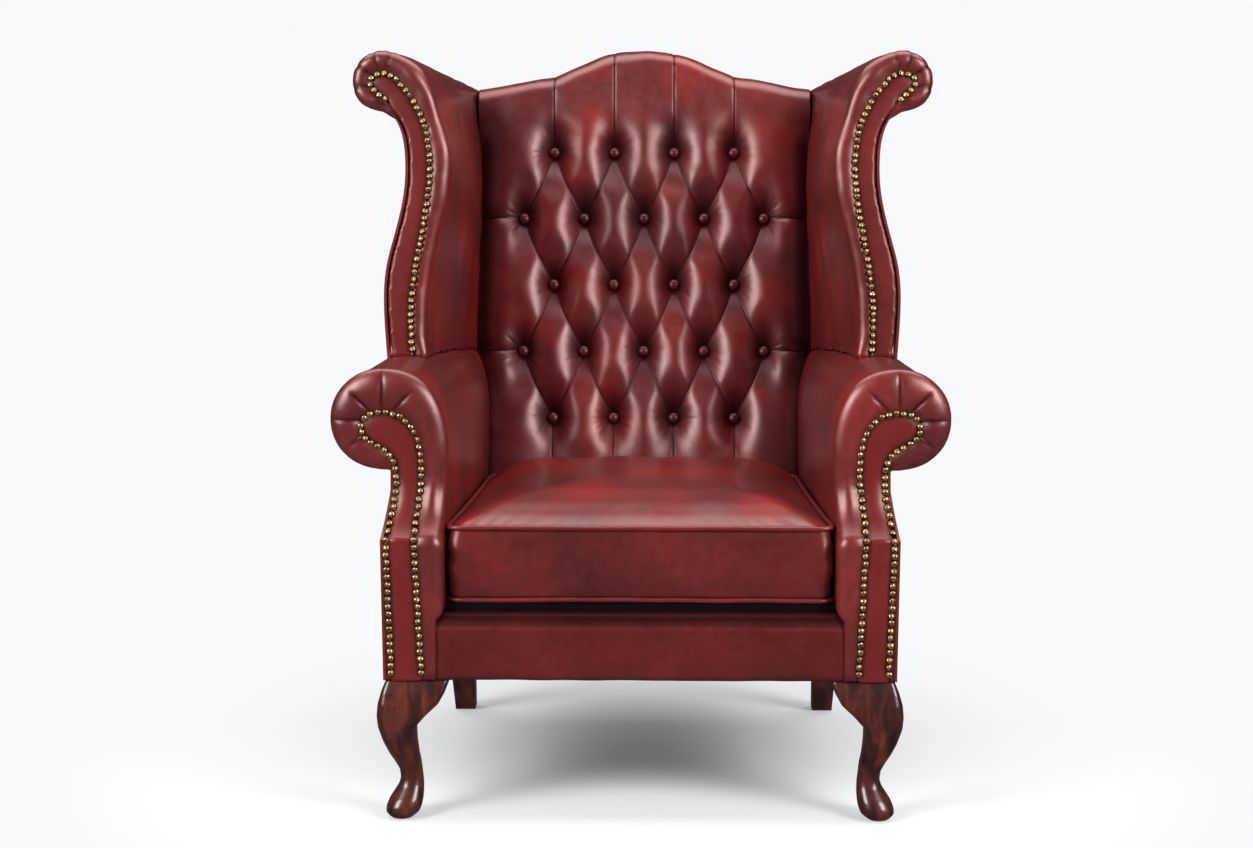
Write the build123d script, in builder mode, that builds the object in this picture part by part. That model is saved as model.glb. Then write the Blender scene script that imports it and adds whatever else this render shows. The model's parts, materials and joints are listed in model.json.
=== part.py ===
from build123d import *
from math import cos, hypot, radians, sin, sqrt, tan
import os

# High-back wing chair in millimetres. It stands on the floor at z = 0 and faces -Y, and the origin
# is on the floor under the middle of the chair. The right side is modelled and mirrored to the left.
# A depth is measured back from the front of the arms, a height from the floor.
os.makedirs("parts", exist_ok=True)

# Body
front_y = -402.0
body_z = 206.0
panel = 4.0
fit = 0.3
overrun = 30.0

# Arms: a tapering upright with a scroll roll on top, set back above a ridge
arm_outer_x = 362.0
arm_inner_x = 277.0
arm_taper_angle = 2.64
arm_ridge_z = 407.0
arm_ridge_flare = 2.0
arm_neck_x = 355.0
arm_neck_z = 470.0
arm_setback = 44.0
arm_shoulder_z = 505.0
arm_sweep_z = 498.0
arm_edge_r = 20.0
roll_x = 367.0
roll_z = 570.0
roll_r = 70.0
facing = 6.0
facing_lower_shares = ((0.86, 0.93), (0.36, 0.465))
facing_curve_shares = (
    (-0.286, -1.43), (-0.29, -1.17), (-0.19, -0.76), (0.05, -0.55), (0.31, -0.40), (0.42, -0.14),
    (0.26, 0.10), (-0.03, 0.164), (-0.33, 0.10), (-0.57, -0.08), (-0.78, -0.66), (-0.77, -1.43),
)

# Wings: a shaped front that leans back and runs into the back
wing_depth = 263.0
wing_lean = radians(4.0)
wing_mid_x = 352.0
wing_width = 58.0
wing_height = 452.0
wing_sink = 80.0
wing_scroll_x = 389.0
wing_scroll_r = 42.0
wing_notch_x = 381.0
wing_edge_r = 13.0
wing_back_inner_top = 268.0
wing_back_inner_low = 259.0
wing_back_outer_x = 330.0
wing_back_top_z = 1031.0
wing_back_corner = 40.0
wing_post_inset = 12.0
wing_outer_shares = (
    (0.50, 0.0), (0.60, 0.15), (0.52, 0.305), (0.38, 0.374), (0.216, 0.451), (0.069, 0.546),
    (0.034, 0.644), (0.138, 0.739),
)
wing_crown_shares = ((0.10, 0.978), (-0.38, 0.929))
wing_inner_shares = ((-1.155, 0.655), (-0.948, 0.478), (-0.638, 0.327), (-0.431, 0.157), (-0.5, 0.0))
wing_nail_shares = (
    (-0.155, 0.0), (-0.086, 0.133), (-0.259, 0.327), (-0.483, 0.478), (-0.595, 0.642),
    (-0.397, 0.783), (0.155, 0.896), (0.655, 0.931), (0.948, 0.907), (0.793, 0.873), (0.414, 0.832),
)

# Back: a raked plane that the buttons sit on, with pillows in front of it
rake = radians(13.0)
back_depth_at_seat = 551.0
back_ref_z = 430.0
back_half = 275.0
crest_height = 638.0
crest_rise = 56.0
crest_edge_r = 20.0
crest_back_r = 8.0
crest_rim = 14.0
back_overlap = 2.0
crest_shares = (
    (0.0, 1.0), (0.184, 0.92), (0.269, 0.80), (0.391, 0.51), (0.56, 0.165), (0.756, 0.09), (1.1, 0.0),
)
back_foam = 41.0
back_thickness = 92.0
button_rows = 5
buttons_across = 4
button_first = 78.0
button_pitch_v = 110.4
button_pitch_x = 99.0
button_r = 9.0
button_height = 7.0
button_dome_shares = ((0.0, 1.0), (0.5, 0.9), (1.0, 0.45))
button_sides = 8
pillow_height = 30.0
pillow_side_x = 268.0
pillow_edge = 1.0
pillow_bottom = 8.0
pillow_crest_gap = 10.0
pillow_level_shares = ((0.0, 0.0), (0.12, 0.40), (0.36, 0.72), (0.67, 0.92), (1.0, 1.0))
pillow_shoulder = 27.0
dimple_r = 10.5
dimple_flare = 10.0

# Seat
rail_height = 91.0
rail_thick = 25.0
rail_front_setback = 3.0
rail_pad = 12.0
rail_cover_half = 303.0
rail_cover_top = 6.0
rail_cover_r = 18.0
side_rail_x = 320.0
block_leg = 80.0
block_height = 60.0
post_width = 40.0
post_depth = 40.0
post_top_z = 1020.0
stump_thick = 34.0
arm_rail_width = 25.0
arm_rail_height = 50.0
arm_rail_drop = 5.0
back_rail_thick = 30.0
tack_rail_z = 340.0
tack_rail_height = 50.0
crest_rail_height = 60.0
wing_post_thick = 25.0
wing_rail_size = 22.0
wing_rail_z = 985.0
wing_rail_x = 341.0
deck = 9.0
deck_front = 22.0
rail_lip = 28.0
dust = 1.0
spring_count = 5
spring_pitch = 100.0
spring_wire = 3.6
spring_half = 24.0
spring_bends = 19
spring_lead = 10.0
clip_width = 18.0
clip_length = 10.0
clip_height = 5.0
clip_depth = 34.0
web_width = 50.0
web_thick = 3.0

# Cushion: a boxed case with piping, foam inside and a zip at the back
cushion_front = 21.0
cushion_back = 513.0
cushion_front_half = 271.0
cushion_back_half = 247.5
cushion_corner_r = 22.0
cushion_draw = 4.0
cushion_bottom_pipe = 317.0
cushion_top_pipe = 420.0
cushion_crown = 38.0
case_wall = 3.0
pipe_r = 3.0
pipe_sides = 8
crown_shares = ((0.05, 0.27), (0.14, 0.52), (0.33, 0.80), (0.62, 0.96), (1.0, 1.0))
crown_reach = 185.0
crown_turn_r = 500.0
sole_shares = ((1.0, 0.0), (0.35, 0.30))
sole_reach = 22.0
boxing_flat = 46.0
seam_inset = 4.0
zip_length = 400.0
zip_width = 20.0
zip_thick = 1.2
zip_coil = 6.0
zip_coil_thick = 0.8
slider_length = 14.0
slider_width = 9.0
slider_thick = 4.0
slider_tab = 22.0
slider_tab_width = 5.0
slider_tab_thick = 1.5

# Legs
leg_corner_x = 362.0
leg_top_x = 314.5
leg_top_width = 89.0
leg_z_shares = (
    1.0, 0.917, 0.83, 0.748, 0.665, 0.558, 0.466, 0.393, 0.335, 0.272, 0.228, 0.18, 0.136, 0.092, 0.05, 0.022,
)
leg_width_shares = (
    1.0, 1.02, 0.966, 0.78, 0.60, 0.54, 0.478, 0.417, 0.365, 0.366, 0.403, 0.479, 0.539, 0.567, 0.539, 0.404,
)
leg_bow_shares = (
    0.0, 0.067, 0.152, 0.262, 0.337, 0.298, 0.244, 0.185,
    0.149, 0.133, 0.146, 0.182, 0.219, 0.25, 0.275, 0.287,
)
leg_round_shares = (
    0.06, 0.09, 0.14, 0.20, 0.28, 0.34, 0.40, 0.44, 0.46, 0.46, 0.46, 0.46, 0.46, 0.46, 0.46, 0.46,
)
leg_sole_share = 0.30
rear_leg_x = 302.0
rear_leg_depth = 569.0
rear_leg_rake = 71.0
rear_leg_top = 48.0
rear_leg_z_shares = (1.0, 0.68, 0.34, 0.005)
rear_leg_rake_shares = (0.0, 0.17, 0.48, 1.0)
rear_leg_width_shares = (1.0, 0.92, 0.79, 0.69)
glide_r = 9.0
glide_height = 4.0
glide_proud = 1.0
bolt_r = 4.0
bolt_up = 50.0
bolt_down = 45.0
bolt_clearance = 0.15
bolt_shift = 12.0

# Nails
nail_r = 4.8
nail_top_r = 2.6
nail_height = 2.4
nail_pitch = 10.5
nail_lift = 0.15
nail_sides = 6

taper = tan(radians(arm_taper_angle))
roll_top_z = roll_z + roll_r
rail_top_z = body_z + rail_height
cover_top_z = rail_top_z + rail_cover_top
deck_top_z = cover_top_z + deck
frame_lift = -back_foam - web_thick


def front_plane(depth=0.0):
    """Upright plane parallel to the front, seen from the front."""
    return Plane(origin=(0, front_y + depth, 0), x_dir=(1, 0, 0), z_dir=(0, -1, 0))


def side_plane(x=0.0, depth=0.0):
    """Upright plane across the chair: its x is depth, its y is height."""
    return Plane(origin=(x, front_y + depth, 0), x_dir=(0, 1, 0), z_dir=(1, 0, 0))


def wing_plane(behind=0.0):
    """Leaning plane of the wing fronts, with its origin at the arm top."""
    origin = (0, front_y + wing_depth, roll_top_z)
    return Plane(origin=origin, x_dir=(1, 0, 0), z_dir=(0, -cos(wing_lean), sin(wing_lean))).offset(-behind)


def back_plane(lift=0.0):
    """Raked plane of the buttons, lifted forward."""
    origin = (0, front_y + back_depth_at_seat, back_ref_z)
    return Plane(origin=origin, x_dir=(1, 0, 0), z_dir=(0, -cos(rake), sin(rake))).offset(lift)


def raked_depth(z, lift=0.0):
    """Depth at a height of the raked layer that lies this far forward of the buttons."""
    return back_depth_at_seat + (z - back_ref_z) * tan(rake) - lift / cos(rake)


def raked_v(z, lift=0.0):
    """Distance up the raked plane at a height."""
    return (z - back_ref_z - lift * sin(rake)) / cos(rake)


def slab(z_low, z_high, lift_front, lift_back, x_low, x_high):
    """Straight member in the raked frame, cut level at both ends."""
    with BuildPart() as member:
        with BuildSketch(side_plane(x_low)):
            with BuildLine():
                Polyline(
                    (raked_depth(z_low, lift_front), z_low),
                    (raked_depth(z_low, lift_back), z_low),
                    (raked_depth(z_high, lift_back), z_high),
                    (raked_depth(z_high, lift_front), z_high),
                    close=True,
                )
            make_face()
        extrude(amount=x_high - x_low)
    return member.part


def arm_side(shift=0.0, lift=-back_thickness):
    """Side region from the front profile of the arm, shifted back, to a raked layer."""
    base_z = body_z
    top_z = roll_top_z + overrun
    with BuildSketch(side_plane(0, shift)) as region:
        with BuildLine():
            TangentArc((arm_setback, arm_sweep_z), (0, arm_ridge_z), tangent=(0, -1))
            Polyline(
                (0, arm_ridge_z),
                (0, base_z),
                (raked_depth(base_z, lift) - shift, base_z),
                (raked_depth(top_z, lift) - shift, top_z),
                (arm_setback, top_z),
                (arm_setback, arm_sweep_z),
            )
        make_face()
    return region.sketch


def arm_face_depth(z):
    """Depth and lean of the front of the arm at a height."""
    arc_r = (arm_setback ** 2 + (arm_sweep_z - arm_ridge_z) ** 2) / (2 * arm_setback)
    if z <= arm_ridge_z:
        return 0.0, 0.0
    if z >= arm_sweep_z:
        return arm_setback, 0.0
    drop = arm_sweep_z - z
    run = sqrt(arc_r ** 2 - drop ** 2)
    return arm_setback - arc_r + run, drop / run


def wing_point(x_share, up_share):
    """Point of the wing outline on its leaning plane."""
    return (wing_mid_x + x_share * wing_width, up_share * wing_height)


arm_reach = (raked_depth(roll_top_z, -back_thickness) + overrun) / cos(radians(arm_taper_angle))
arm_dir = (-taper, 1, 0)
neck_top_z = roll_z - sqrt(roll_r ** 2 - (roll_x - arm_neck_x) ** 2)
wing_scroll_up = wing_height - wing_scroll_r
wing_notch_up = wing_scroll_up - sqrt(wing_scroll_r ** 2 - (wing_scroll_x - wing_notch_x) ** 2)

# Arm form: the section of the arm drawn from the front, run back with its taper and cut to its profile
arm_outer_line = (
    (arm_outer_x, body_z),
    (arm_outer_x + arm_ridge_flare, arm_ridge_z),
    (arm_neck_x, arm_neck_z),
    (arm_neck_x, neck_top_z),
)
with BuildPart() as arm_block:
    with BuildSketch(front_plane()):
        with BuildLine():
            Polyline((arm_inner_x, arm_shoulder_z), (arm_inner_x, body_z), *arm_outer_line)
            ThreePointArc((arm_neck_x, neck_top_z), (roll_x + roll_r, roll_z), (roll_x, roll_top_z))
            Spline(
                (roll_x, roll_top_z),
                (arm_inner_x, arm_shoulder_z),
                tangents=((-1, 0), (0, -1)),
            )
        make_face()
    extrude(amount=arm_reach, dir=arm_dir)
    extrude(arm_side(), amount=roll_x + roll_r + overrun, mode=Mode.INTERSECT)

# Padded arm: the same form with its front edge rounded over
with BuildPart() as arm_form:
    add(arm_block.part)
    arm_front_edges = arm_form.edges().filter_by(
        lambda edge: edge.bounding_box().max.Y < front_y + arm_setback + fit
        and edge.bounding_box().size.Z > rail_cover_top
        and (edge.center().Z > arm_shoulder_z or edge.center().X < arm_inner_x + fit)
    )
    fillet(arm_front_edges, radius=arm_edge_r)

# Outside arm: a covered board on the outer side, up to the roll
with BuildPart() as outside_arm:
    with BuildSketch(front_plane()):
        with BuildLine():
            Polyline(
                *arm_outer_line,
                *[(x - panel, z) for x, z in reversed(arm_outer_line)],
                close=True,
            )
        make_face()
    extrude(amount=arm_reach, dir=arm_dir)
    extrude(arm_side(), amount=roll_x + roll_r + overrun, mode=Mode.INTERSECT)

# Line that the arm nails follow: up the outer side, round the scroll and down the inner side
arm_width = arm_outer_x - arm_inner_x
with BuildLine() as arm_nail_line:
    outer_low = (arm_inner_x + facing_lower_shares[0][0] * arm_width, body_z)
    outer_high = (arm_inner_x + facing_lower_shares[0][1] * arm_width, arm_ridge_z)
    inner_low = (arm_inner_x + facing_lower_shares[1][0] * arm_width, body_z)
    inner_high = (arm_inner_x + facing_lower_shares[1][1] * arm_width, arm_ridge_z)
    Line(outer_low, outer_high)
    Spline(
        outer_high,
        *[(roll_x + x * roll_r, roll_z + z * roll_r) for x, z in facing_curve_shares],
        inner_high,
    )
    Line(inner_high, inner_low)

with BuildPart() as arm_core:
    with BuildSketch(front_plane()):
        with BuildLine():
            add(arm_nail_line.line)
            Line(inner_low, outer_low)
        make_face()
    extrude(amount=arm_reach, dir=arm_dir)

# Arm facing: the covered panel inside the nail line, flush with the front of the arm
with BuildPart() as arm_facing:
    add(arm_core.part)
    extrude(arm_side(), amount=roll_x + roll_r, mode=Mode.INTERSECT)
    extrude(arm_side(facing), amount=roll_x + roll_r, mode=Mode.SUBTRACT)

# Arm post: the shaped stump behind the facing
with BuildPart() as arm_post:
    add(arm_core.part)
    extrude(arm_side(facing), amount=roll_x + roll_r, mode=Mode.INTERSECT)
    extrude(arm_side(facing + stump_thick), amount=roll_x + roll_r, mode=Mode.SUBTRACT)

# Wing form: a loft from the leaning front, with its scroll, to a plain strip at the back
wing_outer = [wing_point(x, up) for x, up in wing_outer_shares]
wing_foot_outer = (wing_outer[0][0], -wing_sink)
wing_notch = (wing_notch_x, wing_notch_up)
wing_top = (wing_scroll_x, wing_height)
wing_crown = [wing_point(x, up) for x, up in wing_crown_shares]
wing_inner = [wing_point(x, up) for x, up in wing_inner_shares]
wing_foot_inner = (wing_inner[-1][0], -wing_sink)
wing_tail_low = raked_v(roll_top_z - wing_sink, -back_thickness)
wing_tail_high = raked_v(wing_back_top_z, -back_thickness)
wing_tail_shoulder = wing_tail_high - wing_back_corner
wing_tail_crown = wing_back_outer_x - wing_back_corner
wing_fall = (wing_inner[0][0] - wing_crown[-1][0], wing_inner[0][1] - wing_crown[-1][1])


with BuildPart() as wing_form:
    with BuildSketch(wing_plane()):
        with BuildLine():
            Spline(wing_foot_outer, *wing_outer[1:], wing_notch)
            ThreePointArc(wing_notch, (wing_scroll_x + wing_scroll_r, wing_scroll_up), wing_top)
            Spline(wing_top, *wing_crown, tangents=((-1, 0), wing_fall))
            Spline(wing_crown[-1], *wing_inner[:-1], wing_foot_inner, tangents=(wing_fall, (0, -1)))
            Line(wing_foot_inner, wing_foot_outer)
        make_face()
    with BuildSketch(back_plane(-back_thickness)):
        with BuildLine():
            Line((wing_back_outer_x, wing_tail_low), (wing_back_outer_x, wing_tail_shoulder))
            TangentArc(
                (wing_back_outer_x, wing_tail_shoulder),
                (wing_tail_crown, wing_tail_high),
                tangent=(0, 1),
            )
            Line((wing_tail_crown, wing_tail_high), (wing_back_inner_top, wing_tail_high))
            Line((wing_back_inner_top, wing_tail_high), (wing_back_inner_low, wing_tail_low))
            Line((wing_back_inner_low, wing_tail_low), (wing_back_outer_x, wing_tail_low))
        make_face()
    loft(ruled=True)
    wing_front_edges = wing_form.edges().filter_by(
        lambda edge: edge.bounding_box().max.Y < front_y + wing_depth + wing_sink
        and edge.center().Z > roll_top_z
        and (edge.center().X < wing_mid_x or edge.center().Z > post_top_z)
    )
    fillet(wing_front_edges, radius=wing_edge_r)

# Inner side of the outside wing panel: everything of the wing that lies within this loft is padding
with BuildPart() as wing_inside:
    far_x = wing_scroll_x + wing_scroll_r + overrun
    near_x = wing_back_inner_low - overrun
    front_high = wing_height + overrun
    tail_top = wing_tail_high + overrun
    wing_join = (wing_notch_x - panel, wing_notch_up - panel)
    tail_join = (wing_back_outer_x - panel, wing_tail_shoulder - panel)
    wing_low = -wing_sink - overrun
    with BuildSketch(wing_plane()):
        with BuildLine():
            Spline(
                (wing_foot_outer[0] - panel, wing_low),
                *[(x - panel, up) for x, up in wing_outer[1:]],
                wing_join,
            )
            Polyline(
                wing_join,
                (far_x, wing_join[1]),
                (far_x, front_high),
                (near_x, front_high),
                (near_x, wing_low),
                (wing_foot_outer[0] - panel, wing_low),
            )
        make_face()
    with BuildSketch(back_plane(-back_thickness)):
        with BuildLine():
            Polyline(
                (wing_back_outer_x - panel, wing_tail_low - overrun),
                tail_join,
                (far_x, tail_join[1]),
                (far_x, tail_top),
                (near_x, tail_top),
                (near_x, wing_tail_low - overrun),
                close=True,
            )
        make_face()
    loft(ruled=True)

# Line that the wing nails follow
wing_nail_points = [wing_point(x, up) for x, up in wing_nail_shares]
wing_nail_foot = (wing_nail_points[0][0], -wing_sink)
with BuildLine() as wing_nail_line:
    Spline(*wing_nail_points)


def wing_front_strip(inset):
    """Area between the nail line and the outer edge of the wing front, moved inwards."""
    edge = [(x - inset, up) for x, up in (*wing_outer, wing_notch)]
    with BuildSketch(wing_plane()) as strip:
        with BuildLine():
            add(wing_nail_line.line)
            Line(wing_nail_points[-1], edge[-1])
            Spline(*reversed(edge))
            Polyline(edge[0], (edge[0][0], -wing_sink), wing_nail_foot, wing_nail_points[0])
        make_face()
    return strip.sketch


# Wing facing: the covered panel outside the nail line, flush with the front of the wing
with BuildPart() as wing_facing:
    extrude(wing_front_strip(2 * panel), amount=-facing)
    add(arm_block.part, mode=Mode.SUBTRACT)

# Outside wing: the covered board on the outer side, up to the scroll
with BuildPart() as outside_wing:
    add(wing_form.part)
    add(arm_block.part, mode=Mode.SUBTRACT)
    add(wing_inside.part, mode=Mode.SUBTRACT)

# Frame: posts and rails of beech
post_outer_x = back_half + post_width
stump_back = facing + stump_thick
rail_front = rail_front_setback + rail_pad
rail_back = rail_front + rail_thick
arm_rail_x = post_outer_x + taper * raked_depth(roll_z, frame_lift - post_depth)
arm_rail_top = roll_z - arm_rail_drop + arm_rail_height / 2
arm_rail_low = arm_rail_top - arm_rail_height
rear_bolt_x = rear_leg_x - bolt_shift / 2
front_bolt_x = leg_top_x - bolt_shift
front_bolt_depth = leg_corner_x - leg_top_x + bolt_shift


def tapering_bar(x, z_low, z_high, width, shift, lift):
    """Bar that runs back with the taper of the arm, from its profile to a raked layer."""
    with BuildPart() as bar:
        with BuildSketch(front_plane()):
            with Locations((x + width / 2, (z_low + z_high) / 2)):
                Rectangle(width, z_high - z_low)
        extrude(amount=arm_reach, dir=arm_dir)
        extrude(arm_side(shift, lift), amount=roll_x + roll_r, mode=Mode.INTERSECT)
    return bar.part


def level_plane(x, depth, z, up=1):
    """Level plane over a point of the plan, facing up or down."""
    return Plane(origin=(x, front_y + depth, z), z_dir=(0, 0, up))


with BuildPart() as back_post:
    add(slab(body_z, post_top_z, frame_lift, frame_lift - post_depth, back_half, post_outer_x))
    with Locations(level_plane(rear_bolt_x, rear_leg_depth, body_z, -1)):
        Hole(bolt_r + bolt_clearance, depth=bolt_up)

with BuildPart() as side_rail:
    add(tapering_bar(side_rail_x, body_z, rail_top_z, rail_thick, stump_back, frame_lift))

with BuildPart() as arm_rail:
    arm_rail_back = frame_lift - post_depth
    add(tapering_bar(arm_rail_x, arm_rail_low, arm_rail_top, arm_rail_width, stump_back, arm_rail_back))
    add(back_post.part, mode=Mode.SUBTRACT)

with BuildPart() as wing_post:
    extrude(wing_front_strip(wing_post_inset), amount=-facing - wing_post_thick)
    extrude(wing_front_strip(0), amount=-facing, mode=Mode.SUBTRACT)
    split(bisect_by=Plane.XY.offset(arm_rail_top), keep=Keep.TOP)

with BuildPart() as wing_rail:
    with BuildSketch(wing_plane(facing + wing_post_thick)):
        with Locations((wing_rail_x, (wing_rail_z - roll_top_z) / cos(wing_lean))):
            Rectangle(wing_rail_size, wing_rail_size)
    with BuildSketch(back_plane(frame_lift)):
        with Locations((back_half + post_width / 2, raked_v(wing_rail_z, frame_lift))):
            Rectangle(wing_rail_size, wing_rail_size)
    loft(ruled=True)

with BuildPart() as front_rail:
    with BuildSketch(Plane.XY.offset(body_z)):
        with Locations((0, front_y + rail_front + rail_thick / 2)):
            Rectangle(2 * (side_rail_x + rail_pad), rail_thick)
    extrude(amount=rail_height)
    add(arm_post.part, mode=Mode.SUBTRACT)
    add(arm_post.part.mirror(Plane.YZ), mode=Mode.SUBTRACT)

back_rail_lift = frame_lift - back_rail_thick
with BuildPart() as back_rail:
    add(slab(body_z, rail_top_z, frame_lift, back_rail_lift, -back_half, back_half))

with BuildPart() as back_tack_rail:
    add(slab(tack_rail_z, tack_rail_z + tack_rail_height, frame_lift, back_rail_lift, -back_half, back_half))


def crest_region(lift, drop, half, low):
    """Area of the back under its crest line, lowered, on a raked layer."""
    line = [(x * back_half, crest_height + rise * crest_rise - drop) for x, rise in crest_shares]
    mirrored = [(-x, v) for x, v in reversed(line[1:])]
    with BuildSketch(back_plane(lift)) as region:
        with BuildLine():
            Spline(*mirrored, *line)
            Polyline(line[-1], (line[-1][0], low), (mirrored[0][0], low), mirrored[0])
        make_face()
        Rectangle(2 * half, 4 * crest_height, mode=Mode.INTERSECT)
    return region.sketch


with BuildPart() as crest_rail:
    crest_rail_low = crest_height - crest_rim - crest_rail_height
    extrude(crest_region(frame_lift, crest_rim, back_half, crest_rail_low), amount=-back_rail_thick)

corner_x = side_rail_x - taper * (raked_depth(body_z, frame_lift) - stump_back)
rear_corner_depth = raked_depth(body_z + block_height, frame_lift)
with BuildPart() as right_blocks:
    with BuildSketch(Plane.XY.offset(body_z)):
        for x, depth, way in ((side_rail_x, rail_back, 1), (corner_x, rear_corner_depth, -1)):
            with BuildLine():
                Polyline(
                    (x, front_y + depth),
                    (x - block_leg, front_y + depth),
                    (x, front_y + depth + way * block_leg),
                    close=True,
                )
            make_face()
    extrude(amount=block_height)
    extrude(arm_side(0, frame_lift), amount=roll_x, mode=Mode.INTERSECT)
    for piece in (side_rail, arm_post):
        add(piece.part, mode=Mode.SUBTRACT)
    with Locations(level_plane(front_bolt_x, front_bolt_depth, body_z, -1)):
        Hole(bolt_r + bolt_clearance, depth=block_height)

with BuildPart() as corner_blocks:
    add(right_blocks.part)
    mirror(right_blocks.part, about=Plane.YZ)

# Inside back: foam slab with a rim over the crest, one pillow per cell between the buttons
def row_v(row):
    """Height up the slope of a row of buttons."""
    return button_first + row * button_pitch_v


def column_x(column, across):
    """Place across the back of one in a row of so many."""
    return (column - (across - 1) / 2) * button_pitch_x


button_places = []
for row in range(button_rows):
    across = buttons_across + row % 2
    button_places += [(column_x(column, across), row_v(row)) for column in range(across)]


def crest_v(x):
    """Height up the slope where the pillows stop under the crest."""
    ends = [(share * back_half, crest_height + rise * crest_rise) for share, rise in crest_shares]
    for (x_low, v_low), (x_high, v_high) in zip(ends, ends[1:]):
        if x_low <= abs(x) <= x_high:
            return v_low + (v_high - v_low) * (abs(x) - x_low) / (x_high - x_low) - pillow_crest_gap
    return crest_height - pillow_crest_gap


half_x = button_pitch_x / 2
top_row = button_rows - 1
pillows = []
for row in range(1, top_row):
    across = buttons_across if row % 2 else buttons_across - 1
    for column in range(across):
        x = column_x(column, across)
        pillows.append(
            [(x, row_v(row - 1)), (x + half_x, row_v(row)), (x, row_v(row + 1)), (x - half_x, row_v(row))]
        )
for column in range(buttons_across - 1):
    x = column_x(column, buttons_across - 1)
    left, right = x - half_x, x + half_x
    pillows.append(
        [(left, pillow_bottom), (right, pillow_bottom), (right, row_v(0)), (x, row_v(1)), (left, row_v(0))]
    )
    pillows.append([
        (x, row_v(top_row - 1)), (right, row_v(top_row)), (right, crest_v(right)),
        (left, crest_v(left)), (left, row_v(top_row)),
    ])
for side in (-1, 1):
    near = side * (buttons_across - 1) * half_x
    far = side * buttons_across * half_x
    edge = side * pillow_side_x
    cells = [
        [(near, pillow_bottom), (edge, pillow_bottom), (edge, row_v(1)), (far, row_v(1)), (near, row_v(0))],
        [(far, row_v(top_row - 1)), (edge, row_v(top_row - 1)), (edge, crest_v(edge)), (near, crest_v(near)),
         (near, row_v(top_row))],
    ]
    for row in range(1, top_row - 1, 2):
        low, high = row_v(row), row_v(row + 2)
        cells.append([(far, low), (edge, low), (edge, high), (far, high), (near, row_v(row + 1))])
    pillows += [cell[::side] for cell in cells]


def inset_cell(cell, inset):
    """Corners of a cell, drawn anticlockwise, with every side moved inwards."""
    corners = []
    for before, corner, after in zip(cell[-1:] + cell[:-1], cell, cell[1:] + cell[:1]):
        ax, ay = corner[0] - before[0], corner[1] - before[1]
        bx, by = after[0] - corner[0], after[1] - corner[1]
        a, b = hypot(ax, ay), hypot(bx, by)
        turn = (ax * by - ay * bx) / (a * b)
        shift = inset / turn
        corners.append((corner[0] + shift * (bx / b - ax / a), corner[1] + shift * (by / b - ay / a)))
    return corners


def pillow(cell):
    """One stuffed cell of the tufting."""
    with BuildPart() as form:
        for inset_share, height_share in pillow_level_shares:
            with BuildSketch(back_plane(height_share * pillow_height)):
                with BuildLine():
                    Polyline(*inset_cell(cell, pillow_edge + inset_share * pillow_shoulder), close=True)
                make_face()
        loft(ruled=True)
    return form.part


def dimple(x, v):
    """Flared hollow that a button sits in."""
    with BuildPart() as hollow:
        for lift, flare in ((0, 0), (pillow_height, dimple_flare)):
            with BuildSketch(back_plane(lift)):
                with Locations((x, v)):
                    RegularPolygon(dimple_r + flare, button_sides)
        loft(ruled=True)
    return hollow.part


back_low = raked_v(body_z, 0)
with BuildPart() as inside_back:
    extrude(crest_region(0, 0, back_half + back_overlap, back_low), amount=-back_thickness)
    crest_edges = inside_back.edges().filter_by(GeomType.BSPLINE).sort_by(Axis.Y)
    fillet(crest_edges[0], radius=crest_edge_r)
    crest_edges = inside_back.edges().filter_by(GeomType.BSPLINE).sort_by(Axis.Y)
    fillet(crest_edges[-1], radius=crest_back_r)
    extrude(
        crest_region(-back_foam, crest_rim, back_half + back_overlap, back_low),
        amount=-back_thickness,
        mode=Mode.SUBTRACT,
    )
    add([pillow(cell) for cell in pillows])
    add([dimple(x, v) for x, v in button_places], mode=Mode.SUBTRACT)
    split(bisect_by=Plane.XY.offset(cover_top_z), keep=Keep.TOP)
    sides = [wing_form.part, arm_block.part]
    add(sides + [side.mirror(Plane.YZ) for side in sides], mode=Mode.SUBTRACT)

# Back buttons: one covered dome at every crossing of the pleats
with BuildPart() as button:
    for lift_share, width_share in button_dome_shares:
        with BuildSketch(Plane.XY.offset(lift_share * button_height)):
            RegularPolygon(button_r * width_share, button_sides)
    loft(ruled=True)

with BuildPart() as back_buttons:
    add([back_plane().location * Pos(x, v) * button.part for x, v in button_places])

# Webbing behind the foam, one strap behind each row of buttons
with BuildPart() as back_webbing:
    with BuildSketch(back_plane(frame_lift)):
        for row in range(button_rows):
            with Locations((0, row_v(row))):
                Rectangle(2 * back_half + post_width, web_width)
    extrude(amount=web_thick)

# Outside back: the covered panel that closes the back
tail_v = raked_v(roll_top_z, -back_thickness)


def back_edge(x, z):
    """Point of the outside back where the outer face of the arm reaches it."""
    return (x - taper * raked_depth(z, -back_thickness), raked_v(z, -back_thickness))


with BuildPart() as outside_back:
    with BuildSketch(back_plane(-back_thickness)):
        with BuildLine():
            Polyline(
                (0, wing_tail_high),
                (0, raked_v(body_z, -back_thickness)),
                *[back_edge(x, z) for x, z in arm_outer_line],
                (wing_back_outer_x, tail_v),
                (wing_back_outer_x, wing_tail_shoulder),
            )
            TangentArc(
                (wing_back_outer_x, wing_tail_shoulder),
                (wing_tail_crown, wing_tail_high),
                tangent=(0, 1),
            )
            Line((wing_tail_crown, wing_tail_high), (0, wing_tail_high))
        make_face()
        mirror(about=Plane.YZ)
    extrude(amount=-panel)
    extrude(crest_region(-back_thickness, crest_back_r, back_half, 0), amount=-panel)

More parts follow.
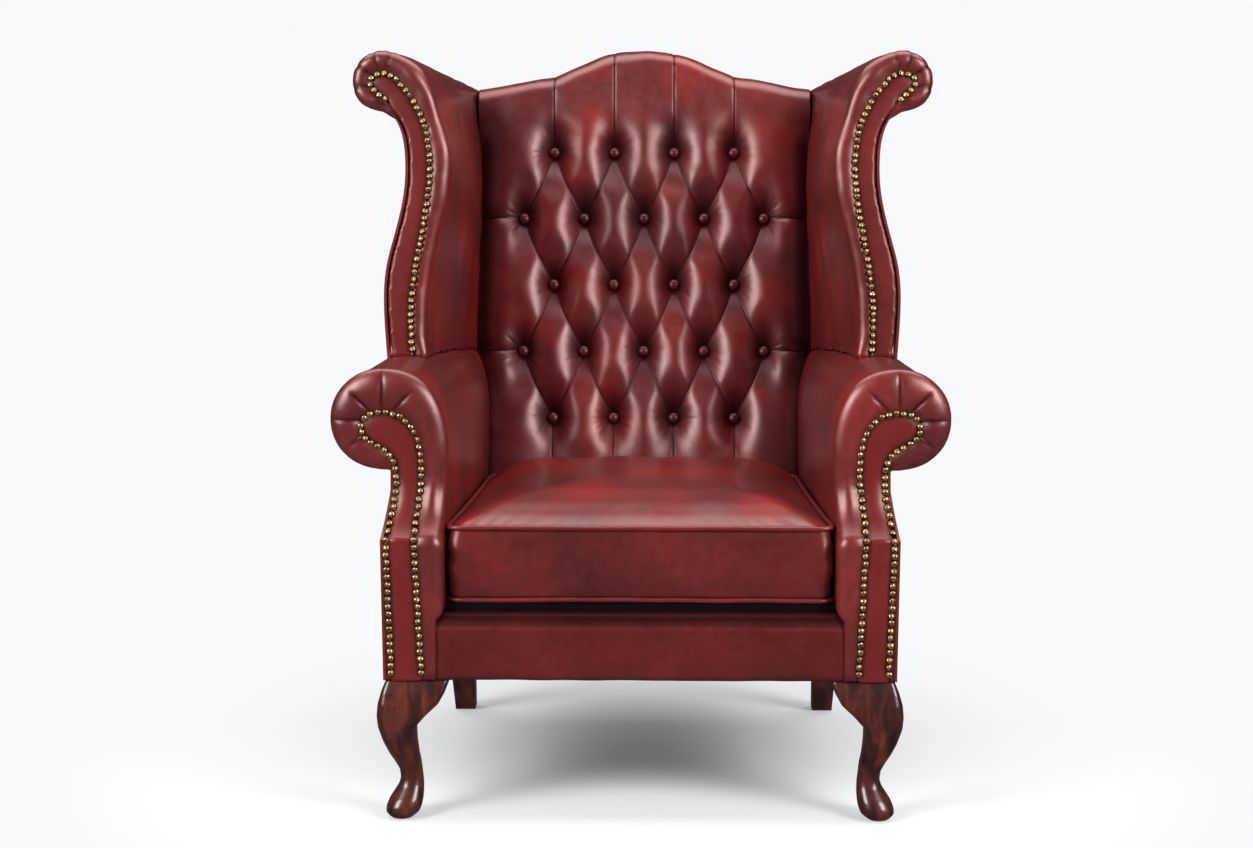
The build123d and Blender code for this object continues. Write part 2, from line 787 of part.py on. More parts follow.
# Front rail cover: padded leather over the front rail, with a lip behind its top edge
with BuildPart() as rail_cover:
    with BuildSketch(side_plane(-rail_cover_half)):
        with BuildLine():
            Polyline(
                (rail_front_setback, body_z),
                (rail_front, body_z),
                (rail_front, rail_top_z),
                (rail_lip, rail_top_z),
                (rail_lip, cover_top_z),
                (rail_front_setback + rail_cover_r, cover_top_z),
            )
            RadiusArc(
                (rail_front_setback + rail_cover_r, cover_top_z),
                (rail_front_setback, cover_top_z - rail_cover_r),
                -rail_cover_r,
            )
            Line((rail_front_setback, cover_top_z - rail_cover_r), (rail_front_setback, body_z))
        make_face()
    extrude(amount=2 * rail_cover_half)

# Springs: zigzag wires from the front rail to the back rail, held by a clip at each end
spring_front = clip_depth
spring_back = raked_depth(rail_top_z, frame_lift - back_rail_thick / 2)
spring_x = [(i - (spring_count - 1) / 2) * spring_pitch for i in range(spring_count)]
spring_step = (spring_back - spring_front - 2 * spring_lead) / spring_bends
spring_z = rail_top_z + spring_wire / 2
with BuildPart() as seat_springs:
    for x in spring_x:
        points = [(x, front_y + spring_front), (x, front_y + spring_front + spring_lead)]
        for bend in range(spring_bends):
            depth = front_y + spring_front + spring_lead + bend * spring_step
            side = spring_half if bend % 2 else -spring_half
            points += [(x + side, depth), (x + side, depth + spring_step)]
        points += [(x, front_y + spring_back - spring_lead), (x, front_y + spring_back)]
        with BuildLine(Plane.XY.offset(spring_z)) as wire:
            Polyline(*points)
        with BuildSketch(Plane(origin=wire.line @ 0, z_dir=wire.line % 0)):
            Rectangle(spring_wire, spring_wire)
        sweep(transition=Transition.RIGHT)

with BuildPart() as spring_clips:
    with BuildSketch(Plane.XY.offset(rail_top_z)):
        for x in spring_x:
            with Locations((x, front_y + spring_front), (x, front_y + spring_back)):
                Rectangle(clip_width, clip_length)
    extrude(amount=clip_height)
    add(seat_springs.part, mode=Mode.SUBTRACT)

# Seat deck: the cloth platform on the springs, and the dust cover under the frame
with BuildPart() as seat_deck:
    with BuildSketch(side_plane(-arm_inner_x)):
        with BuildLine():
            Polyline(
                (deck_front, cover_top_z),
                (raked_depth(cover_top_z), cover_top_z),
                (raked_depth(deck_top_z), deck_top_z),
                (deck_front, deck_top_z),
                close=True,
            )
        make_face()
    extrude(amount=2 * arm_inner_x)
    add(arm_block.part, mode=Mode.SUBTRACT)
    mirror(arm_block.part, about=Plane.YZ, mode=Mode.SUBTRACT)

# Front legs: cabriole, with a knee, an ankle and a pad foot that lie on the diagonal of the chair
def leg_section(share, width_share, bow_share):
    """Height, centre and width of the front leg."""
    bow = bow_share * leg_top_width
    x = leg_top_x + bow
    return share * body_z, (x, front_y + leg_corner_x - x), width_share * leg_top_width


with BuildPart() as front_leg:
    levels = [*zip(leg_z_shares, leg_width_shares, leg_bow_shares, leg_round_shares)]
    levels.append((glide_proud / body_z, leg_sole_share, leg_bow_shares[-1], leg_round_shares[-1]))
    for z_share, width_share, bow_share, round_share in levels:
        z, centre, width = leg_section(z_share, width_share, bow_share)
        with BuildSketch(Plane.XY.offset(z)):
            with Locations(centre):
                RectangleRounded(width, width, round_share * width)
    loft(ruled=True)
    sole = leg_section(0, leg_sole_share, leg_bow_shares[-1])[1]
    with Locations(level_plane(front_bolt_x, front_bolt_depth, body_z)):
        Hole(bolt_r + bolt_clearance, depth=bolt_down)
    with Locations(Plane(origin=(*sole, glide_proud), z_dir=(0, 0, -1))):
        Hole(glide_r, depth=glide_height - glide_proud)

# Rear legs: square, tapering and raked back
with BuildPart() as rear_leg:
    rear_levels = zip(rear_leg_z_shares, rear_leg_rake_shares, rear_leg_width_shares)
    for z_share, rake_share, width_share in rear_levels:
        with BuildSketch(Plane.XY.offset(z_share * body_z)):
            with Locations((rear_leg_x, front_y + rear_leg_depth + rake_share * rear_leg_rake)):
                Rectangle(width_share * rear_leg_top, width_share * rear_leg_top)
    loft(ruled=True)
    rear_sole = (rear_leg_x, front_y + rear_leg_depth + rear_leg_rake)
    with Locations(level_plane(rear_bolt_x, rear_leg_depth, body_z)):
        Hole(bolt_r + bolt_clearance, depth=bolt_down)
    with Locations(Plane(origin=(*rear_sole, rear_leg_z_shares[-1] * body_z), z_dir=(0, 0, -1))):
        Hole(glide_r, depth=glide_height - glide_proud)

with BuildPart() as foot_glides:
    with BuildSketch():
        with Locations(sole, rear_sole):
            Circle(glide_r)
    extrude(amount=glide_height)
    mirror(about=Plane.YZ)

with BuildPart() as leg_bolts:
    with BuildSketch(Plane.XY.offset(body_z - bolt_down)):
        with Locations((front_bolt_x, front_y + front_bolt_depth), (rear_bolt_x, front_y + rear_leg_depth)):
            Circle(bolt_r)
    extrude(amount=bolt_down + bolt_up)
    mirror(about=Plane.YZ)

with BuildPart() as dust_cover:
    dust_back = raked_depth(body_z, back_rail_lift)
    with BuildSketch(Plane.XY.offset(body_z - dust)):
        with BuildLine():
            Polyline(
                (0, front_y + rail_front),
                (arm_outer_x - rail_thick, front_y + rail_front),
                (arm_outer_x - rail_thick - taper * dust_back, front_y + dust_back),
                (0, front_y + dust_back),
            )
            mirror(about=Plane.YZ)
        make_face()
    extrude(amount=dust)
    legs = [front_leg.part, rear_leg.part]
    add(legs + [leg.mirror(Plane.YZ) for leg in legs], mode=Mode.SUBTRACT)
    for side in (-1, 1):
        with Locations(
            level_plane(side * front_bolt_x, front_bolt_depth, body_z),
            level_plane(side * rear_bolt_x, rear_leg_depth, body_z),
        ):
            Hole(bolt_r + bolt_clearance, depth=dust)

# Arm and wing padding: the forms less everything that is let into them
well_outer_x = side_rail_x + taper * (stump_back - rail_back)
with BuildPart() as rail_well:
    with BuildSketch(front_plane(rail_back)):
        with Locations((well_outer_x - block_leg / 2, body_z + rail_height / 2)):
            Rectangle(block_leg, rail_height)
    extrude(amount=arm_reach, dir=arm_dir)

frame_pieces = (
    arm_post, arm_rail, side_rail, back_post, wing_post, wing_rail, front_rail, back_rail,
    back_tack_rail, crest_rail, right_blocks, back_webbing,
)
with BuildPart() as arm_pad:
    add(arm_form.part)
    let_in = (*frame_pieces, outside_arm, arm_facing, rail_cover, rail_well)
    add([piece.part for piece in let_in], mode=Mode.SUBTRACT)
    with Locations(level_plane(rear_bolt_x, rear_leg_depth, body_z, -1)):
        Hole(bolt_r + bolt_clearance, depth=bolt_up)

with BuildPart() as wing_pad:
    add(wing_form.part)
    add(wing_inside.part, mode=Mode.INTERSECT)
    add(arm_block.part, mode=Mode.SUBTRACT)
    add([piece.part for piece in (*frame_pieces, wing_facing)], mode=Mode.SUBTRACT)

# Nails: faceted brass heads, evenly spaced along their lines
with BuildPart() as nail:
    for lift, radius in ((0, nail_r), (nail_height, nail_top_r)):
        with BuildSketch(Plane.XY.offset(lift)):
            RegularPolygon(radius, nail_sides)
    loft(ruled=True)


def nail_spots(line, start):
    """Evenly spaced points along a line, from a distance past its lower ends."""
    count = round((line.length - 2 * start) / nail_pitch)
    step = (line.length - 2 * start) / count
    return [line.position_at(start + i * step, PositionMode.LENGTH) for i in range(count + 1)]


def arm_nail_place(spot):
    """Where a nail lies on the front profile of the arm."""
    depth, lean = arm_face_depth(spot.Y)
    seat = Plane(origin=(spot.X - taper * depth, front_y + depth, spot.Y), z_dir=(0, -1, lean))
    return seat.offset(nail_lift).location


with BuildPart() as arm_nails:
    arm_spots = nail_spots(arm_nail_line.wire(), nail_pitch)
    add([arm_nail_place(spot) * nail.part for spot in arm_spots])

with BuildPart() as wing_nails:
    wing_spots = nail_spots(wing_nail_line.wire(), nail_pitch)
    add([wing_plane().location * Pos(spot.X, spot.Y, nail_lift) * nail.part for spot in wing_spots])


# Cushion: boxed leather case with a crown, piping on both seams, foam inside and a zip behind
def cushion_line(inset):
    """Plan of the cushion, drawn in along its front and sides."""
    front = front_y + cushion_front + inset
    back = front_y + cushion_back - inset
    front_half = cushion_front_half - inset
    back_half_width = cushion_back_half - inset
    side_half = (front_half + back_half_width) / 2 - cushion_draw
    middle = (front + back) / 2
    corners = (
        (-front_half, front), (0, front + cushion_draw), (front_half, front), (side_half, middle),
        (back_half_width, back), (-back_half_width, back), (-side_half, middle),
    )
    drawn_in = (crown_turn_r, cushion_corner_r)
    return corners, (cushion_corner_r, *drawn_in, *drawn_in, cushion_corner_r, crown_turn_r)


cushion_low = deck_top_z + fit
boxing_middle = (cushion_bottom_pipe + cushion_top_pipe) / 2
cushion_levels = [
    (seam_inset + inset * sole_reach, cushion_low + rise * (cushion_bottom_pipe - cushion_low), 1)
    for inset, rise in sole_shares
]
cushion_levels += [(seam_inset, cushion_bottom_pipe, 1)]
cushion_levels += [(0.0, boxing_middle - boxing_flat / 2, 0), (0.0, boxing_middle + boxing_flat / 2, 0)]
cushion_levels += [(seam_inset, cushion_top_pipe, -1)]
cushion_levels += [
    (seam_inset + inset * crown_reach, cushion_top_pipe + rise * cushion_crown, -1)
    for inset, rise in crown_shares
]


def cushion_solid(wall):
    """The cushion's form, made smaller all round by a wall."""
    with BuildPart() as form:
        for inset, z, way in cushion_levels:
            corners, turns = cushion_line(inset + wall)
            with BuildSketch(Plane.XY.offset(z + way * wall)):
                with BuildLine():
                    FilletPolyline(*corners, radius=turns, close=True)
                make_face()
        loft(ruled=True)
    return form.part


def piping(z):
    """Cord in the seam of the cushion at a height."""
    with BuildPart() as cord:
        corners, turns = cushion_line(seam_inset - pipe_r / 2)
        with BuildLine(Plane.XY.offset(z)) as seam:
            FilletPolyline(*corners, radius=turns, close=True)
        with BuildSketch(Plane(origin=seam.wire() @ 0, z_dir=seam.wire() % 0)):
            RegularPolygon(pipe_r, pipe_sides)
        sweep(path=seam.wire())
    return cord.part


with BuildPart() as cushion_piping_top:
    add(piping(cushion_top_pipe))

with BuildPart() as cushion_piping_bottom:
    add(piping(cushion_bottom_pipe))

with BuildPart() as seat_cushion_cover:
    add(cushion_solid(0))
    add([cushion_solid(case_wall), cushion_piping_top.part, cushion_piping_bottom.part], mode=Mode.SUBTRACT)

with BuildPart() as cushion_foam:
    add(cushion_solid(case_wall + fit))

# Zip in the back border of the case, and its slider
border_y = front_y + cushion_back
with BuildPart() as cushion_zip:
    for width, low, high in (
        (zip_width, 0, zip_thick),
        (zip_coil, zip_thick, zip_thick + zip_coil_thick),
    ):
        with BuildSketch(Plane(origin=(0, border_y + low, boxing_middle), x_dir=(-1, 0, 0), z_dir=(0, 1, 0))):
            Rectangle(zip_length, width)
        extrude(amount=high - low)

slider_y = border_y + zip_thick + zip_coil_thick + fit
slider_x = (zip_length - slider_length) / 2
with BuildPart() as zip_slider:
    with BuildSketch(Plane(origin=(slider_x, slider_y, boxing_middle), x_dir=(-1, 0, 0), z_dir=(0, 1, 0))):
        RectangleRounded(slider_length, slider_width, slider_width / 3)
    extrude(amount=slider_thick)
    tab_y = slider_y + slider_thick - slider_tab_thick
    with BuildSketch(Plane(origin=(slider_x, tab_y, boxing_middle), x_dir=(-1, 0, 0), z_dir=(0, 1, 0))):
        with Locations((0, -slider_tab / 2)):
            RectangleRounded(slider_tab_width, slider_tab, slider_tab_width / 3)
    extrude(amount=slider_tab_thick)

# Every piece is written to its own file; the left side is the right side mirrored
single = {
    "front_rail": front_rail, "back_rail": back_rail, "back_tack_rail": back_tack_rail,
    "crest_rail": crest_rail, "corner_blocks": corner_blocks, "inside_back": inside_back,
    "back_buttons": back_buttons, "back_webbing": back_webbing, "outside_back": outside_back,
    "rail_cover": rail_cover, "seat_springs": seat_springs, "spring_clips": spring_clips,
    "seat_deck": seat_deck, "dust_cover": dust_cover, "foot_glides": foot_glides,
    "leg_bolts": leg_bolts, "seat_cushion_cover": seat_cushion_cover, "cushion_foam": cushion_foam,
    "cushion_piping_top": cushion_piping_top, "cushion_piping_bottom": cushion_piping_bottom,
    "cushion_zip": cushion_zip, "zip_slider": zip_slider,
}
paired = {
    "side_rail": side_rail, "back_post": back_post, "arm_post": arm_post, "arm_rail": arm_rail,
    "wing_post": wing_post, "wing_rail": wing_rail, "arm_pad": arm_pad, "arm_facing": arm_facing,
    "outside_arm": outside_arm, "arm_nails": arm_nails, "wing_pad": wing_pad,
    "wing_facing": wing_facing, "outside_wing": outside_wing, "wing_nails": wing_nails,
    "front_leg": front_leg, "rear_leg": rear_leg,
}
for name, piece in single.items():
    piece.part.label = name
    export_step(piece.part, f"parts/{name}.step")

for name, piece in paired.items():
    with BuildPart() as other:
        mirror(piece.part, about=Plane.YZ)
    for side, hand in (("right", piece), ("left", other)):
        hand.part.label = f"{name}_{side}"
        export_step(hand.part, f"parts/{name}_{side}.step")
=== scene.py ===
import bmesh
import bpy
import json
import math
import numpy as np
from mathutils import Matrix, Vector


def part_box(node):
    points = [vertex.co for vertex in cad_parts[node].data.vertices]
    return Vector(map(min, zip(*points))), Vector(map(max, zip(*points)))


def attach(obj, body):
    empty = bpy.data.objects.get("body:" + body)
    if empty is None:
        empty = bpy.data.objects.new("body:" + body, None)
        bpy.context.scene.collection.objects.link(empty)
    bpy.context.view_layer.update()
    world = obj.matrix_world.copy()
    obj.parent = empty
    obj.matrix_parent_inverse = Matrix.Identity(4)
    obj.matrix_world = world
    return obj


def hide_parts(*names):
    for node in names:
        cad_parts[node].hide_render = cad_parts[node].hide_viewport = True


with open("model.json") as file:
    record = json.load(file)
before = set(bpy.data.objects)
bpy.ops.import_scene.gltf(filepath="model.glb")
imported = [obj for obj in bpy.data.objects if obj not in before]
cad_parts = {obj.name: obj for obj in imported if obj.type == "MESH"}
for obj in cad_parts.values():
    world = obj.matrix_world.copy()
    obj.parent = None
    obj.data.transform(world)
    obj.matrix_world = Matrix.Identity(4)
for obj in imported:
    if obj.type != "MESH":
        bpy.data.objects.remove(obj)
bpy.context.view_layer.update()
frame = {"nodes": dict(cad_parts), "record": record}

# High-back wing chair in oxblood leather. Metres; the chair faces -Y and stands on the floor at z = 0.
mm = 0.001
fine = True

# Driving sizes, as in the frame
rail_setback = 3 * mm
front_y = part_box("rail_cover")[0][1] - rail_setback
body_z = 206 * mm
arm_setback = 44 * mm
arm_taper = math.tan(math.radians(2.64))
roll_centre = (367 * mm - arm_taper * arm_setback, 570 * mm)
wing_foot_z = 640 * mm
wing_scroll = (389 * mm, 410 * mm)
rake = math.radians(13)
back_depth = 551 * mm
back_ref_z = 430 * mm
back_half = 275 * mm
crest_height = 638 * mm
crest_rise = 56 * mm
crest_shares = (
    (0.0, 1.0), (0.184, 0.92), (0.269, 0.80), (0.391, 0.51), (0.56, 0.165), (0.756, 0.09), (1.1, 0.0),
)
button_rows = 5
button_first = 78 * mm
button_pitch_v = 110.4 * mm
button_pitch_x = 99 * mm
pillow_height = 31 * mm
pit_depth = 25 * mm
rng = np.random.default_rng(7)


# Colours and nodes
def linear(hex_colour):
    """An sRGB hex value as linear RGBA."""
    values = [int(hex_colour[i:i + 2], 16) / 255 for i in (1, 3, 5)]
    return [v / 12.92 if v <= 0.04045 else ((v + 0.055) / 1.055) ** 2.4 for v in values] + [1.0]


def add_node(tree, kind, settings=(), stops=(), **links):
    """One node with its settings, its colour stops, and its inputs by name or place: a value, a hex colour
    or another node's output."""
    node = tree.nodes.new(kind)
    for key, value in dict(settings).items():
        setattr(node, key, value)
    for _ in stops[2:]:
        node.color_ramp.elements.new(0.5)
    for count, (share, colour) in enumerate(stops):
        node.color_ramp.elements[count].position = share
        node.color_ramp.elements[count].color = linear(colour)
    for key, value in links.items():
        socket = node.inputs[int(key[1:])] if key[0] == "_" else node.inputs[key.replace("_", " ")]
        if isinstance(value, bpy.types.NodeSocket):
            tree.links.new(value, socket)
        else:
            socket.default_value = linear(value) if isinstance(value, str) else value
    return node


def new_material(name):
    """An empty material with its shader, and the Object coordinates that its patterns read."""
    material = bpy.data.materials.new(name)
    material.use_nodes = True
    tree = material.node_tree
    tree.nodes.clear()
    shader = add_node(tree, "ShaderNodeBsdfPrincipled")
    add_node(tree, "ShaderNodeOutputMaterial", Surface=shader.outputs["BSDF"])
    return material, tree, shader, add_node(tree, "ShaderNodeTexCoord").outputs["Object"]


mixed = {"data_type": "RGBA"}
multiplied = {"data_type": "RGBA", "blend_type": "MULTIPLY"}
times = {"operation": "MULTIPLY", "use_clamp": True}


# Oxblood hide: an aniline red with painted shade in a near black over seams, pleats and edges, and a brighter
# red on raised fields, under a semi-gloss finish with a fine pebble grain
def leather_with_painted_shade(name):
    material, tree, shader, place = new_material(name)
    # Clouds a hand wide with a fine mottle in them, as the rubbing pad leaves
    cloud = add_node(
        tree, "ShaderNodeTexNoise", Vector=place, Scale=1 / (140 * mm), Detail=3.0, Roughness=0.5,
    )
    mottle = add_node(
        tree, "ShaderNodeTexNoise", Vector=place, Scale=1 / (13 * mm), Detail=5.0, Roughness=0.65,
    )
    hide = add_node(
        tree, "ShaderNodeValToRGB", stops=((0.32, "#521414"), (0.50, "#611718"), (0.68, "#721a19")),
        Fac=cloud.outputs["Fac"],
    )
    speck = add_node(
        tree, "ShaderNodeValToRGB", stops=((0.30, "#9a8f8f"), (0.62, "#ffffff")), Fac=mottle.outputs["Fac"],
    )
    worn = add_node(
        tree, "ShaderNodeMix", multiplied, _0=0.35, _6=hide.outputs["Color"], _7=speck.outputs["Color"],
    )
    # Painted shade comes from the dark layer, and a brighter red from the glow layer
    dark = add_node(tree, "ShaderNodeAttribute", {"attribute_name": "dark"}).outputs["Fac"]
    glow = add_node(tree, "ShaderNodeAttribute", {"attribute_name": "glow"}).outputs["Fac"]
    brightening = add_node(tree, "ShaderNodeMix", mixed, _0=glow, _6=worn.outputs[2], _7="#881013")
    shaded_colour = add_node(tree, "ShaderNodeMix", mixed, _0=dark, _6=brightening.outputs[2], _7="#180405")
    tree.links.new(shaded_colour.outputs[2], shader.inputs["Base Color"])
    # The grain's pebbles are about 1.6 mm across, with soft wrinkles between them
    grain = add_node(
        tree, "ShaderNodeTexVoronoi", {"feature": "DISTANCE_TO_EDGE"}, Vector=place, Scale=1 / (1.6 * mm),
    )
    pores = add_node(
        tree, "ShaderNodeValToRGB", stops=((0.0, "#000000"), (0.12, "#ffffff")),
        Fac=grain.outputs["Distance"],
    )
    crumple = add_node(
        tree, "ShaderNodeTexNoise", Vector=place, Scale=1 / (6 * mm), Detail=6.0, Roughness=0.6,
    )
    height = add_node(
        tree, "ShaderNodeMix", mixed, _0=0.75, _6=pores.outputs["Color"], _7=crumple.outputs["Color"],
    )
    bump = add_node(tree, "ShaderNodeBump", Strength=0.16, Distance=0.6 * mm, Height=height.outputs[2])
    tree.links.new(bump.outputs["Normal"], shader.inputs["Normal"])
    gloss = add_node(
        tree, "ShaderNodeValToRGB", stops=((0.25, "#949494"), (0.75, "#a8a8a8")), Fac=mottle.outputs["Fac"],
    )
    tree.links.new(gloss.outputs["Color"], shader.inputs["Roughness"])
    # Where shade is painted the gloss is painted down with it, and the other fields shine, tinted by the red
    # under the finish
    open_field = add_node(
        tree, "ShaderNodeMath", {"operation": "SUBTRACT", "use_clamp": True}, _0=1.0, _1=dark,
    )
    tree.links.new(open_field.outputs[0], shader.inputs["Specular IOR Level"])
    wax = add_node(tree, "ShaderNodeMath", times, _0=open_field.outputs[0], _1=0.25)
    tree.links.new(wax.outputs[0], shader.inputs["Coat Weight"])
    shader.inputs["Specular Tint"].default_value = linear("#ffcfcb")
    shader.inputs["Coat Roughness"].default_value = 0.34
    return material


# Polished mahogany: long red-brown figure with fine dark pores under a shellac gloss
def polished_mahogany(name):
    material, tree, shader, place = new_material(name)
    # The figure runs up the leg, 20 mm wide and 150 mm long. The pores, 1.1 mm by 25 mm, are drawn coarser
    # than real ones so that they show
    stretch = add_node(
        tree, "ShaderNodeMapping", Vector=place, Scale=(1 / (20 * mm), 1 / (20 * mm), 1 / (150 * mm)),
    )
    figure = add_node(
        tree, "ShaderNodeTexNoise", Vector=stretch.outputs["Vector"], Scale=1.0, Detail=6.0, Distortion=0.8,
    )
    thin = add_node(
        tree, "ShaderNodeMapping", Vector=place, Scale=(1 / (1.1 * mm), 1 / (1.1 * mm), 1 / (25 * mm)),
    )
    pores = add_node(tree, "ShaderNodeTexNoise", Vector=thin.outputs["Vector"], Scale=1.0, Detail=3.0)
    colour = add_node(
        tree, "ShaderNodeValToRGB", stops=((0.30, "#1e0b08"), (0.50, "#431a12"), (0.70, "#64291a")),
        Fac=figure.outputs["Fac"],
    )
    dots = add_node(
        tree, "ShaderNodeValToRGB", stops=((0.36, "#7a6a66"), (0.55, "#ffffff")), Fac=pores.outputs["Fac"],
    )
    wood = add_node(
        tree, "ShaderNodeMix", multiplied, _0=0.6, _6=colour.outputs["Color"], _7=dots.outputs["Color"],
    )
    bump = add_node(tree, "ShaderNodeBump", Strength=0.08, Distance=0.3 * mm, Height=pores.outputs["Fac"])
    tree.links.new(wood.outputs[2], shader.inputs["Base Color"])
    tree.links.new(bump.outputs["Normal"], shader.inputs["Normal"])
    shader.inputs["Roughness"].default_value = 0.32
    shader.inputs["Coat Weight"].default_value = 0.5
    shader.inputs["Coat Roughness"].default_value = 0.15
    return material


# Sawn beech: pale straight grain 8 mm wide, unfinished and dry
def sawn_beech(name):
    material, tree, shader, place = new_material(name)
    stretch = add_node(
        tree, "ShaderNodeMapping", Vector=place, Scale=(1 / (8 * mm), 1 / (8 * mm), 1 / (80 * mm)),
    )
    grain = add_node(tree, "ShaderNodeTexNoise", Vector=stretch.outputs["Vector"], Scale=1.0, Detail=5.0)
    colour = add_node(
        tree, "ShaderNodeValToRGB", stops=((0.35, "#a9794e"), (0.65, "#c99a6b")), Fac=grain.outputs["Fac"],
    )
    bump = add_node(tree, "ShaderNodeBump", Strength=0.2, Distance=0.4 * mm, Height=grain.outputs["Fac"])
    tree.links.new(colour.outputs["Color"], shader.inputs["Base Color"])
    tree.links.new(bump.outputs["Normal"], shader.inputs["Normal"])
    shader.inputs["Roughness"].default_value = 0.7
    return material


# Antique brass: a stamped head with patches of brown patina between rubbed, paler ones
def antique_brass(name):
    material, tree, shader, place = new_material(name)
    patina = add_node(tree, "ShaderNodeTexNoise", Vector=place, Scale=1 / (2.4 * mm), Detail=4.0)
    colour = add_node(
        tree, "ShaderNodeValToRGB", stops=((0.34, "#5a462b"), (0.50, "#a48859"), (0.68, "#d8c093")),
        Fac=patina.outputs["Fac"],
    )
    stamp = add_node(tree, "ShaderNodeTexVoronoi", Vector=place, Scale=1 / (1.8 * mm))
    bump = add_node(tree, "ShaderNodeBump", Strength=0.3, Distance=0.5 * mm, Height=stamp.outputs["Distance"])
    tree.links.new(colour.outputs["Color"], shader.inputs["Base Color"])
    tree.links.new(bump.outputs["Normal"], shader.inputs["Normal"])
    shader.inputs["Metallic"].default_value = 0.9
    shader.inputs["Roughness"].default_value = 0.36
    return material


# Drawn steel: plain grey wire and sheet with a dull, faintly clouded finish
def drawn_steel(name):
    material, tree, shader, place = new_material(name)
    stain = add_node(tree, "ShaderNodeTexNoise", Vector=place, Scale=1 / (11 * mm), Detail=3.0)
    colour = add_node(
        tree, "ShaderNodeValToRGB", stops=((0.35, "#5c5d5e"), (0.65, "#8b8c8e")), Fac=stain.outputs["Fac"],
    )
    tree.links.new(colour.outputs["Color"], shader.inputs["Base Color"])
    shader.inputs["Metallic"].default_value = 1.0
    shader.inputs["Roughness"].default_value = 0.4
    return material


# Plain weave: threads over and under, drawn 1.5 mm apart or more so that they show. The foam inside the
# cushion borrows the pattern, with its cells drawn 4 mm wide
def woven_cloth(name, light, deep, spacing):
    material, tree, shader, place = new_material(name)
    # At a scale of 1 the wave texture repeats every 0.314 m
    wave_repeat = 0.314
    waves = [
        add_node(
            tree, "ShaderNodeTexWave", {"bands_direction": axis}, Vector=place, Scale=wave_repeat / spacing,
        )
        for axis in ("X", "Y")
    ]
    weave = add_node(tree, "ShaderNodeMath", times, _0=waves[0].outputs["Fac"], _1=waves[1].outputs["Fac"])
    colour = add_node(tree, "ShaderNodeValToRGB", stops=((0.2, deep), (0.8, light)), Fac=weave.outputs[0])
    bump = add_node(tree, "ShaderNodeBump", Strength=0.4, Distance=0.6 * mm, Height=weave.outputs[0])
    tree.links.new(colour.outputs["Color"], shader.inputs["Base Color"])
    tree.links.new(bump.outputs["Normal"], shader.inputs["Normal"])
    shader.inputs["Roughness"].default_value = 0.9
    shader.inputs["Specular IOR Level"].default_value = 0.1
    return material


leather = leather_with_painted_shade("oxblood_hide")
mahogany = polished_mahogany("polished_mahogany")
brass = antique_brass("antique_brass")
finishes = {
    "leather": leather,
    "mahogany": mahogany,
    "beech": sawn_beech("sawn_beech"),
    "brass": brass,
    "steel": drawn_steel("drawn_steel"),
    "webbing": woven_cloth("jute_webbing", "#a58a5e", "#5d4a2c", 3 * mm),
    "deck_cloth": woven_cloth("black_platform_cloth", "#120c0c", "#060404", 2 * mm),
    "foam": woven_cloth("cushion_foam", "#e6dcb8", "#c8b98a", 4 * mm),
    "zip_tape": woven_cloth("zip_tape", "#3a1012", "#150505", 1.5 * mm),
}


# Mesh helpers
def select_only(piece):
    """Leaves one object selected and active."""
    bpy.ops.object.select_all(action="DESELECT")
    piece.select_set(True)
    bpy.context.view_layer.objects.active = piece


def merged_copy(name, *nodes):
    """A copy of CAD solids as one object with its doubles merged."""
    pieces = []
    for node in nodes:
        piece = bpy.data.objects.new(name, frame["nodes"][node].data.copy())
        bpy.context.scene.collection.objects.link(piece)
        pieces.append(piece)
    select_only(pieces[0])
    for piece in pieces:
        piece.select_set(True)
    if len(pieces) > 1:
        bpy.ops.object.join()
    piece = bpy.context.view_layer.objects.active
    bpy.ops.object.mode_set(mode="EDIT")
    bpy.ops.mesh.select_all(action="SELECT")
    bpy.ops.mesh.remove_doubles(threshold=0.02 * mm)
    bpy.ops.object.mode_set(mode="OBJECT")
    return piece


def apply_modifier(piece, kind, **settings):
    """Adds a modifier with its settings and applies it."""
    select_only(piece)
    modifier = piece.modifiers.new(kind.lower(), kind)
    for key, value in settings.items():
        setattr(modifier, key, value)
    bpy.ops.object.modifier_apply(modifier=modifier.name)


def soften(piece, voxel, rounds):
    """Even small faces all over, then smoothed."""
    apply_modifier(piece, "REMESH", mode="VOXEL", voxel_size=voxel if fine else 1.6 * voxel)
    apply_modifier(piece, "SMOOTH", factor=0.5, iterations=rounds)


def round_off(piece, weights, rounds):
    """Smooths a mesh where the weights say so."""
    group = piece.vertex_groups.new(name="rounded")
    for share in (0.25, 0.5, 0.75, 1.0):
        chosen = np.flatnonzero((weights > share - 0.25) & (weights <= share))
        group.add(chosen.tolist(), share, "REPLACE")
    apply_modifier(piece, "SMOOTH", factor=0.5, iterations=rounds, vertex_group="rounded")


def points_of(piece):
    """Places of a mesh's points, as rows."""
    places = np.empty(len(piece.data.vertices) * 3, np.float32)
    piece.data.vertices.foreach_get("co", places)
    return places.reshape(-1, 3).astype(float)


def normals_of(piece):
    """Normals at a mesh's points, as rows."""
    normals = np.empty(len(piece.data.vertices) * 3, np.float32)
    piece.data.vertex_normals.foreach_get("vector", normals)
    return normals.reshape(-1, 3).astype(float)


def place_points(piece, places):
    """Moves a mesh's points."""
    piece.data.vertices.foreach_set("co", places.astype(np.float32).ravel())
    piece.data.update()


def paint(piece, **layers):
    """Writes values at the points, such as dark, for the leather to read."""
    for name, values in layers.items():
        layer = piece.data.attributes.new(name, "FLOAT", "POINT")
        layer.data.foreach_set("value", np.clip(values, 0, 1).astype(np.float32))


def smooth_shade(piece):
    """Smooth shading all over."""
    select_only(piece)
    bpy.ops.object.shade_smooth()


